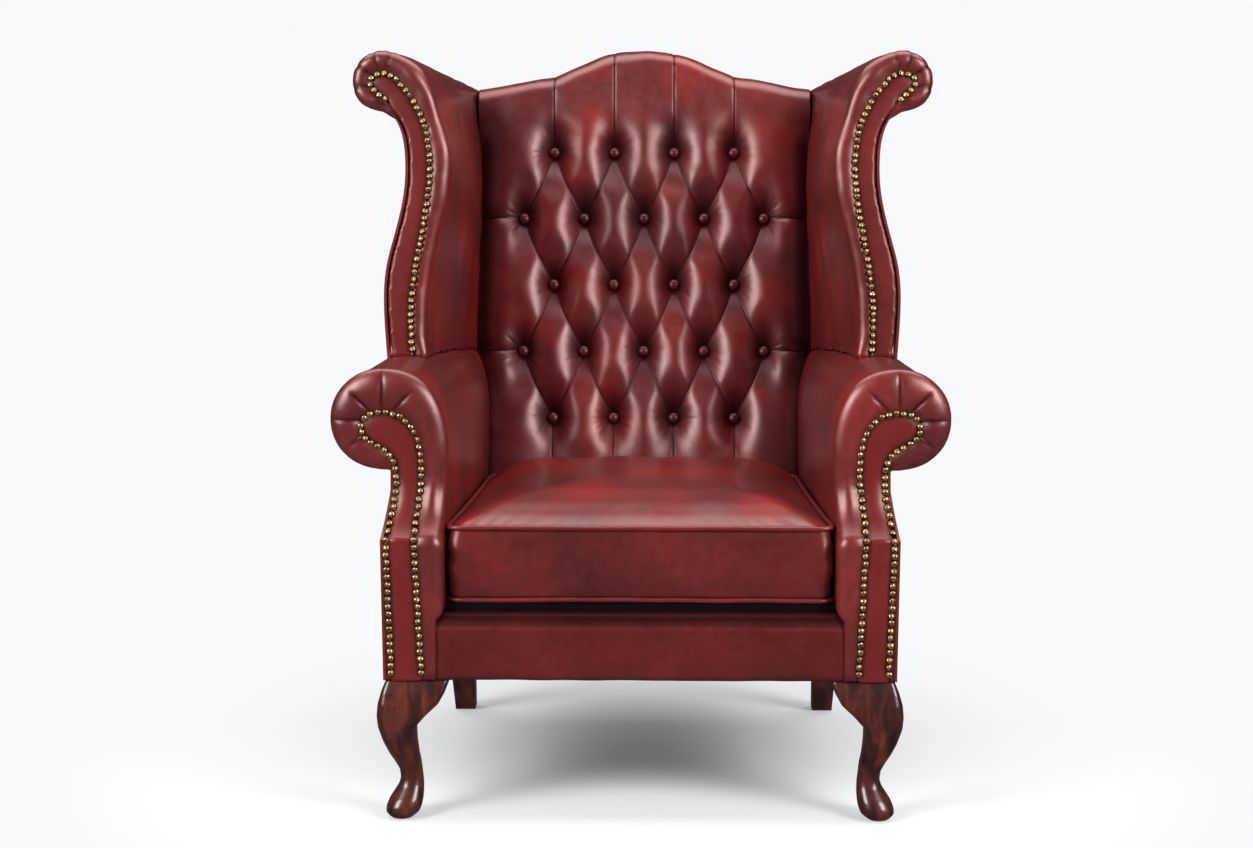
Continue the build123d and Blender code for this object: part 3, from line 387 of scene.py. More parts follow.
def mirrored(piece, name):
    """The same piece on the other side."""
    twin = piece.copy()
    twin.data = piece.data.copy()
    twin.name = name
    bpy.context.scene.collection.objects.link(twin)
    places = points_of(twin)
    places[:, 0] *= -1
    place_points(twin, places)
    twin.data.flip_normals()
    return twin


def seat_on(piece, body, material, slot, *nodes):
    """Gives a finished piece its material, body and the nodes it stands for."""
    piece.data.materials.clear()
    piece.data.materials.append(material)
    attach(piece, body)
    if nodes:
        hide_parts(*nodes)


def line_distance(places, line):
    """Distance from each place to a line through points, how far along it is, and the line's depth there."""
    best = np.full(len(places), 1e9)
    along = np.zeros(len(places))
    level = np.zeros(len(places))
    run = 0.0
    for start, end in zip(line, line[1:]):
        step = end - start
        length = np.linalg.norm(step)
        share = np.clip((places - start) @ step / length ** 2, 0, 1)
        gap = np.linalg.norm(places - start - share[:, None] * step, axis=1)
        nearer = gap < best
        best = np.where(nearer, gap, best)
        along = np.where(nearer, run + share * length, along)
        level = np.where(nearer, start[1] + share * step[1], level)
        run += length
    return best, along, level


def within(outline, places):
    """Which places of a plane lie inside a closed outline."""
    inside = np.zeros(len(places), bool)
    x, z = places[:, 0], places[:, 1]
    for (ax, az), (bx, bz) in zip(outline, np.roll(outline, -1, axis=0)):
        crosses = (az > z) != (bz > z)
        with np.errstate(divide="ignore", invalid="ignore"):
            side = x < (bx - ax) * (z - az) / (bz - az) + ax
        inside ^= crosses & side
    return inside


def step_up(value, low, high):
    """0 below low, 1 above high and smooth between."""
    share = np.clip((value - low) / (high - low), 0, 1)
    return share * share * (3 - 2 * share)


def wave_noise(places, size, seed):
    """Soft noise of about a size, from waves in random directions."""
    draws = np.random.default_rng(seed)
    waves = 14
    total = np.zeros(len(places))
    for _ in range(waves):
        direction = draws.normal(size=3)
        direction *= 2 * math.pi / size / np.linalg.norm(direction) * draws.uniform(0.6, 1.5)
        total += np.sin(places @ direction + draws.uniform(0, 6.3))
    return total / waves ** 0.5


# Nails: a stamped brass dome, modelled once and set where the frame holds each nail
nail_r = 5.1 * mm
nail_height = 3.4 * mm
foot_band = 15 * mm


def nail_places(node):
    """Centre and outward direction of each nail in a node."""
    piece = merged_copy("nail_spots", node)
    mesh = bmesh.new()
    mesh.from_mesh(piece.data)
    seen = set()
    places = []
    for vertex in mesh.verts:
        if vertex in seen:
            continue
        group, stack = [], [vertex]
        seen.add(vertex)
        while stack:
            corner = stack.pop()
            group.append(corner.co.copy())
            for edge in corner.link_edges:
                other = edge.other_vert(corner)
                if other not in seen:
                    seen.add(other)
                    stack.append(other)
        centre = sum(group, Vector()) / len(group)
        group.sort(key=lambda co: (co - centre).length)
        half = len(group) // 2
        top = sum(group[:half], Vector()) / half
        base = sum(group[half:], Vector()) / (len(group) - half)
        places.append((base, (top - base).normalized()))
    mesh.free()
    bpy.data.objects.remove(piece)
    return places


def chain(places):
    """Nail centres in order along their line, from the lowest on the outer side."""
    left = [np.array(centre) for centre, _ in places]
    low = min(p[2] for p in left)
    start = max((p for p in left if p[2] < low + foot_band), key=lambda p: abs(p[0]))
    order = [start]
    left = [p for p in left if p is not start]
    while left:
        nearest = min(left, key=lambda p: np.linalg.norm(p - order[-1]))
        order.append(nearest)
        left = [p for p in left if p is not nearest]
    return np.array(order)


def stamped_nail():
    """A low dome with six hollows in a ring round its crown."""
    bpy.ops.object.select_all(action="DESELECT")
    bpy.ops.mesh.primitive_uv_sphere_add(segments=12, ring_count=8, radius=1.0)
    piece = bpy.context.object
    places = points_of(piece)
    across = np.hypot(places[:, 0], places[:, 1])
    turn = np.arctan2(places[:, 1], places[:, 0])
    petals = np.cos(6 * turn) * np.exp(-((across - 0.72) / 0.2) ** 2)
    dome = np.where(places[:, 2] > 0, places[:, 2], 0.12 * places[:, 2])
    places[:, 2] = nail_height * dome * (1 - 0.14 * petals)
    places[:, :2] *= nail_r
    place_points(piece, places)
    return piece


def nails(name, node, pattern):
    """Every nail of a node, each turned to lie on its surface."""
    pieces = []
    for centre, out in nail_places(node):
        head = bpy.data.objects.new(name, pattern.data.copy())
        bpy.context.scene.collection.objects.link(head)
        turned = out.to_track_quat("Z", "Y").to_matrix().to_4x4()
        spin = Matrix.Rotation(rng.uniform(0, 6.28), 4, "Z")
        head.data.transform(Matrix.Translation(centre) @ turned @ spin)
        pieces.append(head)
    select_only(pieces[0])
    for head in pieces:
        head.select_set(True)
    bpy.ops.object.join()
    piece = bpy.context.view_layer.objects.active
    smooth_shade(piece)
    seat_on(piece, "chair", brass, "brass", node)


pattern = stamped_nail()
arm_line = chain(nail_places("arm_nails_right"))
wing_line = chain(nail_places("wing_nails_right"))
for side in ("right", "left"):
    nails(f"arm_nail_heads_{side}", f"arm_nails_{side}", pattern)
    nails(f"wing_nail_heads_{side}", f"wing_nails_{side}", pattern)
bpy.data.objects.remove(pattern)


# The nodes that the mirrored pieces stand for, without their side
stands_for = {
    "padded_arm": "arm_pad", "arm_face": "arm_facing", "padded_wing": "wing_pad", "wing_face": "wing_facing",
    "cabriole_leg": "front_leg",
}


def pair(piece, title, material=leather, slot="leather"):
    """Seats a right-hand piece and its mirror image."""
    smooth_shade(piece)
    piece.name = f"{title}_right"
    twin = mirrored(piece, f"{title}_left")
    for hand, side in ((piece, "right"), (twin, "left")):
        seat_on(hand, "chair", material, slot, f"{stands_for[title]}_{side}")


# Leather pulled over the pads' fronts, by its place from the line of nails: how far behind it the front
# fades out, how far behind and beside it the edge is rounded, and how wide the painted shade of the crease at
# it is
facing_run = (14 * mm, 34 * mm)
round_run = (30 * mm, 60 * mm)
round_start = (3 * mm, 14 * mm)
crease_width = 7 * mm
# A tuck is cut off this many degrees to either side of its own direction
tuck_spread = 60
# The slack of leather pulled over stuffing wanders over about this length
slack_size = 80 * mm


def rounded_pad(title, node, line, voxel, rounds, rounded_z, edge_rounds):
    """A pad remeshed evenly, with its front edge rounded beyond the nails and above a height."""
    piece = merged_copy(title, node)
    soften(piece, voxel, rounds)
    places = points_of(piece)
    to_nails, _, level = line_distance(places, line)
    near = 1 - step_up(places[:, 1] - level, *round_run)
    near *= step_up(to_nails, *round_start) * step_up(places[:, 2], *rounded_z)
    round_off(piece, near, edge_rounds)
    return piece


def front_share(normals, depth):
    """1 where a pad's leather faces forward close to its front, and 0 elsewhere."""
    return step_up(-normals[:, 1], 0.1, 0.7) * (1 - step_up(depth, *facing_run))


def groove(lateral, width):
    """The cross section of a tuck, 1 at its middle."""
    return np.exp(-(lateral / width) ** 2)


# Padded arm: a full roll whose leather is pulled round the front and tucked in under the nails
arm_swell = 5 * mm
scroll_swell = 8 * mm
arm_swell_run = 10 * mm
arm_scroll_z = (470 * mm, 540 * mm)
tuck_turns = (-38, 2, 44, 92, 136)
tuck_behind = (6 * mm, 48 * mm)
tuck_middle = (14 * mm, 30 * mm)
tuck_from = 30 * mm
tuck_fade = 12 * mm
tuck_lengths = (36 * mm, 46 * mm)
tuck_depth = 3.0 * mm
tuck_width = 2.4 * mm
tuck_line_width = 2.1 * mm
tuck_dip = 1.4 * mm
tuck_dip_width = 8 * mm
neck_z = 480 * mm
neck_reach = 38 * mm
gather_depth = 0.8 * mm
gather_pitch = 3.1 * mm
gather_sway = 40 * mm
arm_low_edge = 19 * mm
arm_slack = 0.3 * mm

arm = rounded_pad(
    "padded_arm", "arm_pad_right", arm_line, voxel=2.8 * mm, rounds=16, rounded_z=(400 * mm, 440 * mm),
    edge_rounds=110,
)
places, normals = points_of(arm), normals_of(arm)
to_nails, along, level = line_distance(places, arm_line)
in_face = within(arm_line[:, [0, 2]], places[:, [0, 2]])
depth = places[:, 1] - level
frontal = front_share(normals, depth) * ~in_face
scroll = step_up(places[:, 2], *arm_scroll_z)
puff = (1 - np.exp(-to_nails / arm_swell_run)) * frontal * (arm_swell + scroll_swell * scroll)

# The tucks run out from the nails over the roll, each a narrow groove in a wider dip
dx, dz = places[:, 0] - roll_centre[0], places[:, 2] - roll_centre[1]
reach = np.hypot(dx, dz)
turn = np.degrees(np.arctan2(dz, dx))
near_front = (1 - step_up(depth, *tuck_behind)) * step_up(reach, *tuck_middle) * ~in_face
tuck_shade = np.zeros(len(places))
for number, centre_turn in enumerate(tuck_turns):
    lateral = reach * np.radians(turn - centre_turn)
    travel = reach + np.maximum(depth, 0) - tuck_from
    fade = near_front * (1 - step_up(travel, tuck_fade, tuck_lengths[number % 2]))
    fade *= np.abs(turn - centre_turn) < tuck_spread
    puff -= tuck_depth * groove(lateral, tuck_width) * fade
    puff -= tuck_dip * groove(lateral, tuck_dip_width) * fade
    tuck_shade = np.maximum(tuck_shade, groove(lateral, tuck_line_width) * np.sqrt(fade))

# Small gathers where the neck turns in under the roll
neck = groove(places[:, 2] - neck_z, neck_reach) * frontal
puff += neck * gather_depth * np.sin(to_nails / gather_pitch + 2 * np.sin(along / gather_sway))
puff += arm_slack * wave_noise(places, slack_size, 3)
place_points(arm, places + normals * puff[:, None])
# Painted shade in the crease along the nails, in the tucks and along the bottom edge; the glow is random
# brighter patches
crease_shade = 0.85 * groove(to_nails, crease_width) * frontal
low_edge_shade = 0.5 * (1 - step_up(places[:, 2], body_z, body_z + arm_low_edge))
paint(
    arm,
    dark=np.maximum.reduce([crease_shade, 0.9 * tuck_shade, low_edge_shade]),
    glow=0.45 * step_up(wave_noise(places, 190 * mm, 5), 0.3, 1.6),
)
pair(arm, "padded_arm")

# Facings: thin panels that swell between the nails and reach out past them at their edge
facing_voxel = 2.2 * mm
nail_band = 8 * mm
edge_from = (9 * mm, 13 * mm)
edge_reach = 2.4 * mm


def covered_panel(title, node, line, brightening, swell):
    """A thin padded panel whose face swells away from the nails and is a brighter red there, with painted
    shade at the nails.
    """
    piece = merged_copy(title, node)
    soften(piece, facing_voxel, 3)
    places, normals = points_of(piece), normals_of(piece)
    gap = line_distance(places, line)[0]
    edge = groove(gap, nail_band)
    rise = swell * (1 - edge) * step_up(-normals[:, 1], 0.2, 0.8)
    rise += edge_reach * (1 - np.abs(normals[:, 1])) ** 2 * step_up(gap, *edge_from)
    place_points(piece, places + normals * rise[:, None])
    # Painted shade along the nails, a quarter dark all over, and a brighter red away from the nails
    paint(piece, dark=np.maximum(0.85 * edge, 0.25), glow=0.35 * (1 - edge) * brightening)
    pair(piece, title)


covered_panel("arm_face", "arm_facing_right", arm_line, brightening=1.0, swell=2.5 * mm)
covered_panel("wing_face", "wing_facing_right", wing_line, brightening=0.6, swell=1.5 * mm)

# Padded wing: a soft edge rolled over the shaped front, nailed behind its scroll
wing_swell = 7 * mm
wing_swell_run = 11 * mm
wing_tucks = ((-20, 0.8), (28, 1.0), (74, 1.0), (112, 0.7))
wing_tuck_behind = (4 * mm, 40 * mm)
wing_tuck_middle = (12 * mm, 22 * mm)
wing_tuck_end = (26 * mm, 56 * mm)
wing_tuck_depth = 1.6 * mm
wing_tuck_width = 2.6 * mm
wing_tuck_line_width = 2.2 * mm
top_swell = 7 * mm
top_from = (345 * mm, 390 * mm)
top_beside = (2 * mm, 22 * mm)
scroll_reach = 6 * mm
scroll_from = (340 * mm, 380 * mm)
scroll_run = (30 * mm, 90 * mm)
wing_slack = 0.6 * mm

wing = rounded_pad(
    "padded_wing", "wing_pad_right", wing_line, voxel=4 * mm, rounds=8, rounded_z=(640 * mm, 670 * mm),
    edge_rounds=150,
)
places, normals = points_of(wing), normals_of(wing)
to_nails, _, level = line_distance(places, wing_line)
depth = places[:, 1] - level
frontal = front_share(normals, depth)
puff = (1 - np.exp(-to_nails / wing_swell_run)) * frontal * wing_swell
up = places[:, 2] - wing_foot_z
dx, dz = places[:, 0] - wing_scroll[0], up - wing_scroll[1]
reach, turn = np.hypot(dx, dz), np.degrees(np.arctan2(dz, dx))
near_front = (1 - step_up(depth, *wing_tuck_behind)) * step_up(reach, *wing_tuck_middle)
tuck_shade = np.zeros(len(places))
for centre_turn, strength in wing_tucks:
    lateral = reach * np.radians(turn - centre_turn)
    fade = strength * near_front * (1 - step_up(reach, *wing_tuck_end))
    fade *= np.abs(turn - centre_turn) < tuck_spread
    puff -= wing_tuck_depth * groove(lateral, wing_tuck_width) * fade
    tuck_shade = np.maximum(tuck_shade, groove(lateral, wing_tuck_line_width) * fade)

# The roll along the top is full, and fullest outwards at the scroll
at_scroll = 1 - step_up(depth, *scroll_run)
full = step_up(up, *top_from) * np.maximum(at_scroll, step_up(normals[:, 2], -0.1, 0.5))
puff += top_swell * full * step_up(to_nails, *top_beside)
puff += scroll_reach * np.clip(normals[:, 0], 0, 1) * at_scroll * step_up(up, *scroll_from)
puff += wing_slack * wave_noise(places, slack_size, 11)
place_points(wing, places + normals * puff[:, None])
# Painted shade in the crease along the nails and in the tucks
crease_shade = 0.85 * groove(to_nails, crease_width) * frontal
paint(
    wing,
    dark=np.maximum.reduce([crease_shade, 0.9 * tuck_shade]),
    glow=0.5 * step_up(wave_noise(places, 220 * mm, 12), 0.2, 1.5),
)
pair(wing, "padded_wing")

# Inside back: stuffed diamonds, folded along the pleats and drawn down at every button
pit_reach = 24 * mm
pit_shade_reach = 25 * mm
sag_width = 14 * mm
sag_reach = 70 * mm
shade_width = 12 * mm
shade_reach = 50 * mm
pit_shade_fall = 60 * mm
wrinkle_height = 0.2 * mm
wrinkle_ring = 24 * mm
wrinkle_band = 10 * mm
pleat_depth = 9 * mm
pleat_pinch = 1.6 * mm
pleat_run = 14 * mm
pleat_round = 1.5 * mm
pleat_bow = 3.5 * mm
straight_pleat_depth = 1.4 * mm
straight_pleat_pinch = 1.0 * mm
pinch_width = 1.6 * mm
pleat_line_width = 1.7 * mm


def row_v(row):
    """Height up the slope of a row of buttons."""
    return button_first + row * button_pitch_v


button_spots = []
for row in range(button_rows):
    across = 4 + row % 2
    button_spots += [((column - (across - 1) / 2) * button_pitch_x, row_v(row)) for column in range(across)]
button_spots = np.array(button_spots)

# Pleats join neighbouring buttons, and run on from the outer ones to the crest, the seat and the sides
half_pitch = button_pitch_x / 2
pleats = []
for x, v in button_spots:
    for side in (-1, 1):
        ends = np.hypot(button_spots[:, 0] - x - side * half_pitch, button_spots[:, 1] - v - button_pitch_v)
        if ends.min() < mm:
            pleats.append(((x, v), tuple(button_spots[ends.argmin()])))
for x, v in button_spots:
    if v > row_v(button_rows - 1) - mm:
        pleats.append(((x, v), (x, v + 2 * button_pitch_v)))
    if v < row_v(0) + mm:
        pleats.append(((x, v), (x, v - 2 * button_pitch_v)))
    if abs(x) > 1.9 * button_pitch_x:
        pleats.append(((x, v), (x + math.copysign(button_pitch_x, x), v)))


def crest_v(x):
    """Top of the back at a place across it."""
    shares, rises = zip(*crest_shares)
    # The line through the shares is averaged over a short run, so that no corner shows in it
    curve = np.interp(np.abs(x) / back_half, shares, rises)
    kernel = np.hanning(71)
    dense = np.linspace(-1.1, 1.1, 800)
    smooth = np.convolve(np.interp(np.abs(dense), shares, rises), kernel / kernel.sum(), "same")
    curve = np.where(np.abs(x) < back_half, np.interp(x / back_half, dense, smooth), curve)
    return crest_height + crest_rise * curve


def pits(x, v):
    """The hollows round the buttons as shares of their depth, the rays of wrinkles and the painted shade in
    and below them.
    """
    hollow = np.zeros(len(x))
    wrinkle = np.zeros(len(x))
    painted_shade = np.zeros(len(x))
    for number, (bx, bv) in enumerate(button_spots):
        dx, dv = x - bx, v - bv
        below = np.maximum(-dv, 0)
        reach = np.hypot(dx, dv * np.where(dv > 0, 0.56, 0.6))
        pit = np.exp(-(reach / pit_reach) ** 1.5)
        sag = np.exp(-(dx / (sag_width + 0.25 * below)) ** 2 - (below / sag_reach) ** 2) * (dv < 0)
        hollow += pit ** 3 + (0.6 * sag) ** 3
        # Painted shade deep in each pit and down the wedge below it
        deep = np.exp(-(reach / pit_shade_reach) ** 2.4 - below / pit_shade_fall)
        shade = np.exp(-(dx / (shade_width + 0.45 * below)) ** 2 - (below / shade_reach) ** 2) * (dv < 0)
        painted_shade = np.maximum.reduce([painted_shade, 0.97 * deep, 0.8 * shade])
        turn = np.arctan2(dv, dx)
        draws = np.random.default_rng(100 + number)
        rays = sum(
            draws.uniform(0.4, 1.0) * np.sin(k * turn + draws.uniform(0, 6.3)) for k in (9, 13, 17, 23)
        )
        wrinkle += rays * np.exp(-((np.hypot(dx, dv) - wrinkle_ring) / wrinkle_band) ** 2)
    return np.minimum(np.cbrt(hollow), 1), wrinkle, painted_shade


def folds(x, v):
    """How deep the leather dips towards the pleats, with their narrow pinch, and where their lines of painted
    shade run.
    """
    fold = np.zeros(len(x))
    pinched = np.zeros(len(x))
    line = np.zeros(len(x))
    places = np.stack([x, v], 1)
    for start, end in pleats:
        start, end = np.array(start), np.array(end)
        step = end - start
        length = np.linalg.norm(step)
        slanted = abs(step[0]) > mm and abs(step[1]) > mm
        bow = pleat_bow * math.copysign(1.0, step[0]) if slanted else 0.0
        share = (places - start) @ step / length ** 2
        clipped = np.clip(share, 0, 1)
        normal = np.array([-step[1], step[0]]) / length
        lateral = (places - start) @ normal + bow * np.sin(math.pi * clipped)
        gap = np.hypot(lateral, (share - clipped) * length)
        upright = abs(step[0]) <= mm
        depth, pinch = (straight_pleat_depth, straight_pleat_pinch) if upright else (pleat_depth, pleat_pinch)
        fold += (depth * np.exp(-np.sqrt(gap ** 2 + pleat_round ** 2) / pleat_run)) ** 4
        pinched = np.maximum(pinched, pinch * groove(gap, pinch_width))
        line = np.maximum(line, groove(gap, pleat_line_width))
    return fold ** 0.25 + pinched, line


def tufted_depth(x, v):
    """How far the leather is drawn down below the full pillows, and the painted shade there."""
    hollow, wrinkle, painted_shade = pits(x, v)
    fold, line = folds(x, v)
    drawn = pit_depth * hollow + fold * (1 - 0.75 * hollow) + wrinkle_height * wrinkle
    return drawn, np.maximum(0.95 * line, painted_shade)


# The skin is a grid laid up the front, over the crest and down behind it
roll = 30 * mm
tail = 91 * mm
low_v = -126 * mm
half_width = 274 * mm
corner_drop = 12 * mm
corner_from = 165 * mm
corner_fall = 120 * mm
seam_depth = 28 * mm
seam_width = 24 * mm
seam_end = 90 * mm
back_seam_shade_reach = 46 * mm
tail_tuck = 1.5 * mm
tail_tuck_run = 10 * mm
back_slack = 0.5 * mm
skin = 4 * mm

columns, rows = (281, 421) if fine else (181, 271)
bpy.ops.object.select_all(action="DESELECT")
bpy.ops.mesh.primitive_grid_add(x_subdivisions=columns - 1, y_subdivisions=rows - 1, size=2)
back = bpy.context.object
back.name = "tufted_back"
unit = points_of(back)
x = unit[:, 0] * half_width
top_v = crest_v(x)
front_run = top_v - roll - low_v
arc_run = roll * math.pi / 2
travel = (unit[:, 1] + 1) / 2 * (front_run + arc_run + tail)
share_arc = np.clip((travel - front_run) / arc_run, 0, 1) * math.pi / 2
over = np.clip(travel - front_run - arc_run, 0, None)
v = low_v + np.minimum(travel, front_run) + roll * np.sin(share_arc)
top_corner = step_up(np.abs(x), corner_from, back_half) * step_up(v, top_v - corner_fall, top_v)
v -= corner_drop * top_corner * (1 - over / tail)
lift = pillow_height - roll * (1 - np.cos(share_arc)) - over
normal_v, normal_lift = np.sin(share_arc), np.cos(share_arc)

# The pillows sink at buttons and pleats, and roll back into the seams at the wings
drawn, dark = tufted_depth(x, low_v + travel)
fade_behind = 1 - 0.85 * step_up(over, 0, tail)
below_crest = 1 - step_up(travel, front_run - seam_end, front_run)
to_side = np.clip(half_width - np.abs(x), 0, None)
relief = drawn * fade_behind + seam_depth * np.exp(-(to_side / seam_width) ** 1.5) * below_crest
relief += back_slack * wave_noise(np.stack([x, v, lift], 1), 55 * mm, 21)
lift -= relief * normal_lift
v -= relief * normal_v
v -= tail_tuck * step_up(over, tail - tail_tuck_run, tail)


def raked(x, v, lift):
    """Places on the raked back from their place across, up the slope and forward of it."""
    y = front_y + back_depth + v * math.sin(rake) - lift * math.cos(rake)
    z = back_ref_z + v * math.cos(rake) + lift * math.sin(rake)
    return np.stack([x, y, z], 1)


place_points(back, raked(x, v, lift))
light = step_up(wave_noise(np.stack([x, v, 0 * x], 1), 120 * mm, 31), -0.2, 1.5)
side_shade = groove(to_side, back_seam_shade_reach) * (0.2 + 0.8 * below_crest)
# Painted shade in the pits, below the buttons, along the pleat lines and at the seams by the wings; the glow
# is random brighter patches
paint(back, dark=np.maximum(dark * fade_behind, 0.9 * side_shade), glow=0.35 * light)
apply_modifier(back, "SOLIDIFY", thickness=skin, offset=-1)
smooth_shade(back)
seat_on(back, "chair", leather, "leather", "inside_back")

# Buttons: leather pulled over a mould, with a soft crown
button_r = 9.2 * mm
button_crown = 6.2 * mm
button_lift = 7.5 * mm

bpy.ops.object.select_all(action="DESELECT")
bpy.ops.mesh.primitive_uv_sphere_add(segments=28, ring_count=16, radius=1.0)
button = bpy.context.object
places = points_of(button)
crown = np.where(places[:, 2] > 0, places[:, 2], 0.5 * places[:, 2])
place_points(button, np.stack([places[:, 0] * button_r, places[:, 1] * button_r, crown * button_crown], 1))
heads = []
for bx, bv in button_spots:
    head = bpy.data.objects.new("covered_buttons", button.data.copy())
    bpy.context.scene.collection.objects.link(head)
    tilt = Matrix.Rotation(math.pi / 2 - rake, 4, "X")
    centre = raked(np.array([bx]), np.array([bv]), np.array([button_lift]))[0]
    head.data.transform(Matrix.Translation(centre) @ tilt)
    heads.append(head)
bpy.data.objects.remove(button)
select_only(heads[0])
for head in heads:
    head.select_set(True)
bpy.ops.object.join()
buttons = bpy.context.view_layer.objects.active
# The buttons are painted half dark all over, as painted shade down in the pits
every = np.ones(len(buttons.data.vertices))
paint(buttons, dark=0.5 * every, glow=0 * every)
smooth_shade(buttons)
seat_on(buttons, "chair", leather, "leather", "back_buttons")

# Seat cushion: a boxed case with a full crown, sides drawn in between the corners, and piped seams
cushion_front = front_y + 21 * mm
cushion_back = front_y + 513 * mm
middle_y = (cushion_front + cushion_back) / 2
front_half = 275 * mm
back_half_width = 247.5 * mm
corner_r = 22 * mm
draw = 4 * mm
bottom_pipe = 317 * mm
top_pipe = 420 * mm
crown_height = 43 * mm
crown_run = 185 * mm
rear_crown_run = 85 * mm
crown_places = (0.0, 0.05, 0.14, 0.33, 0.62, 1.0)
crown_shares = (0.0, 0.12, 0.31, 0.63, 0.91, 1.0)
sole_dip = 4.6 * mm
reach_in = 250 * mm
seam_pull = 4 * mm
boxing_bulge = 3 * mm
bulge_depth = 30 * mm
corner_reach = 70 * mm
pucker_height = 0.55 * mm
pucker_pitch = 4.5 * mm
pucker_run = 20 * mm
pucker_sway = 23 * mm
corner_crease = 1.1 * mm
corner_crease_pitch = 6 * mm
top_slack = 0.7 * mm
boxing_slack = 0.9 * mm
pipe_seam_shade_width = 5.5 * mm
pipe_r = 3.6 * mm
pipe_inset = 0.8 * mm
pipe_sway = 0.5 * mm


def cushion_outline(turn):
    """Places round the cushion's edge, from shares of a turn, drawn in between the corners."""
    half_depth = (cushion_back - cushion_front) / 2
    angle = 2 * math.pi * turn
    cosine, sine = np.cos(angle), np.sin(angle)
    # A square blended with a slightly rounder one, and its corners then cut to their radius
    reach = np.maximum(np.abs(cosine), np.abs(sine))
    ux = 0.9 * cosine / reach + 0.1 * np.sign(cosine) * np.abs(cosine) ** 0.14
    uy = 0.9 * sine / reach + 0.1 * np.sign(sine) * np.abs(sine) ** 0.14
    corner = corner_r / half_depth
    over_x, over_y = np.abs(ux) - (1 - corner), np.abs(uy) - (1 - corner)
    size = np.hypot(over_x, over_y)
    at_corner = (over_x > 0) & (over_y > 0)
    limit = np.where(at_corner & (size > corner), corner / np.maximum(size, 1e-9), 1.0)
    ux = np.where(at_corner, np.sign(ux) * (1 - corner + over_x * limit), ux)
    uy = np.where(at_corner, np.sign(uy) * (1 - corner + over_y * limit), uy)
    half = front_half + (back_half_width - front_half) * (uy + 1) / 2
    pull_x = draw * (1 - uy ** 2) * np.abs(ux) ** 8 * np.sign(ux)
    pull_y = np.where(uy < 0, draw * (1 - ux ** 2) * np.abs(uy) ** 8, 0.0)
    return half * ux - pull_x, middle_y + half_depth * uy + pull_y


# The case is a sphere whose rings are laid out as sole, boxing and top
segments, rings = (480, 120) if fine else (280, 80)
bpy.ops.object.select_all(action="DESELECT")
bpy.ops.mesh.primitive_uv_sphere_add(segments=segments, ring_count=rings, radius=1.0)
cushion = bpy.context.object
cushion.name = "seat_cushion"
unit = points_of(cushion)
turn = (np.arctan2(unit[:, 1], unit[:, 0]) / (2 * math.pi)) % 1
polar = 1 - np.arccos(np.clip(unit[:, 2], -1, 1)) / math.pi
edge_x, edge_y = cushion_outline(turn)
face = 0.24
boxing = np.clip((polar - face) / (1 - 2 * face), 0, 1)
top_share = np.clip((polar - (1 - face)) / face, 0, 1)
sole_share = np.clip((face - polar) / face, 0, 1)
on_top = top_share > 0
on_side = (boxing > 0) & (boxing < 1)
shrink = 1 - np.where(on_top, top_share, sole_share) ** 1.25
inset_run = (1 - shrink) * reach_in
rear = step_up(unit[:, 1], -0.1, 0.6)
rise_run = inset_run / (crown_run + (rear_crown_run - crown_run) * rear)
crown = np.interp(rise_run, crown_places, crown_shares)
belly = np.sin(math.pi * boxing) ** 0.6
scale_in = shrink * (1 - seam_pull * (1 - belly) / reach_in)
x = edge_x * scale_in
y = middle_y + (edge_y - middle_y) * scale_in
y -= boxing_bulge * belly * (edge_y < cushion_front + bulge_depth) * on_side
z = bottom_pipe + (top_pipe - bottom_pipe) * boxing + crown_height * crown * on_top
z -= sole_dip * np.clip(crown * 2, 0, 1) * (sole_share > 0)
places = np.stack([x, y, z], 1)
place_points(cushion, places)

# Puckers along the top seam, creases at the front corners and the slack of a leather that is sat on
normals = normals_of(cushion)
corner_pull = groove(np.hypot(np.abs(x) - front_half, y - cushion_front), corner_reach)
puckers = np.sin((np.abs(x) + y) / pucker_pitch + 1.7 * np.sin(x / pucker_sway))
ripple = pucker_height * puckers * groove(inset_run, pucker_run) * on_top * (0.25 + corner_pull)
ripple += corner_crease * np.sin((z - 0.6 * np.abs(x)) / corner_crease_pitch) * corner_pull * belly * on_side
ripple += top_slack * wave_noise(places, 130 * mm, 41) * on_top * step_up(inset_run, 0, 60 * mm)
ripple += boxing_slack * wave_noise(places, 70 * mm, 42) * belly * on_side
place_points(cushion, places + normals * ripple[:, None])
# Painted shade in the piped seams and on the sides, and a brighter red in random patches, more of it on the
# top as painted light from above
seam_gap = np.minimum(np.abs(z - top_pipe) + inset_run, np.abs(z - bottom_pipe) + inset_run)
glow = step_up(wave_noise(places, 150 * mm, 43), -0.1, 1.4)
dark = np.maximum(0.95 * groove(seam_gap, pipe_seam_shade_width), 0.22 * on_side)
paint(cushion, dark=dark, glow=np.where(on_side, 0.2, 0.6) * glow)
smooth_shade(cushion)
seat_on(cushion, "cushion", leather, "leather", "seat_cushion_cover", "cushion_foam")


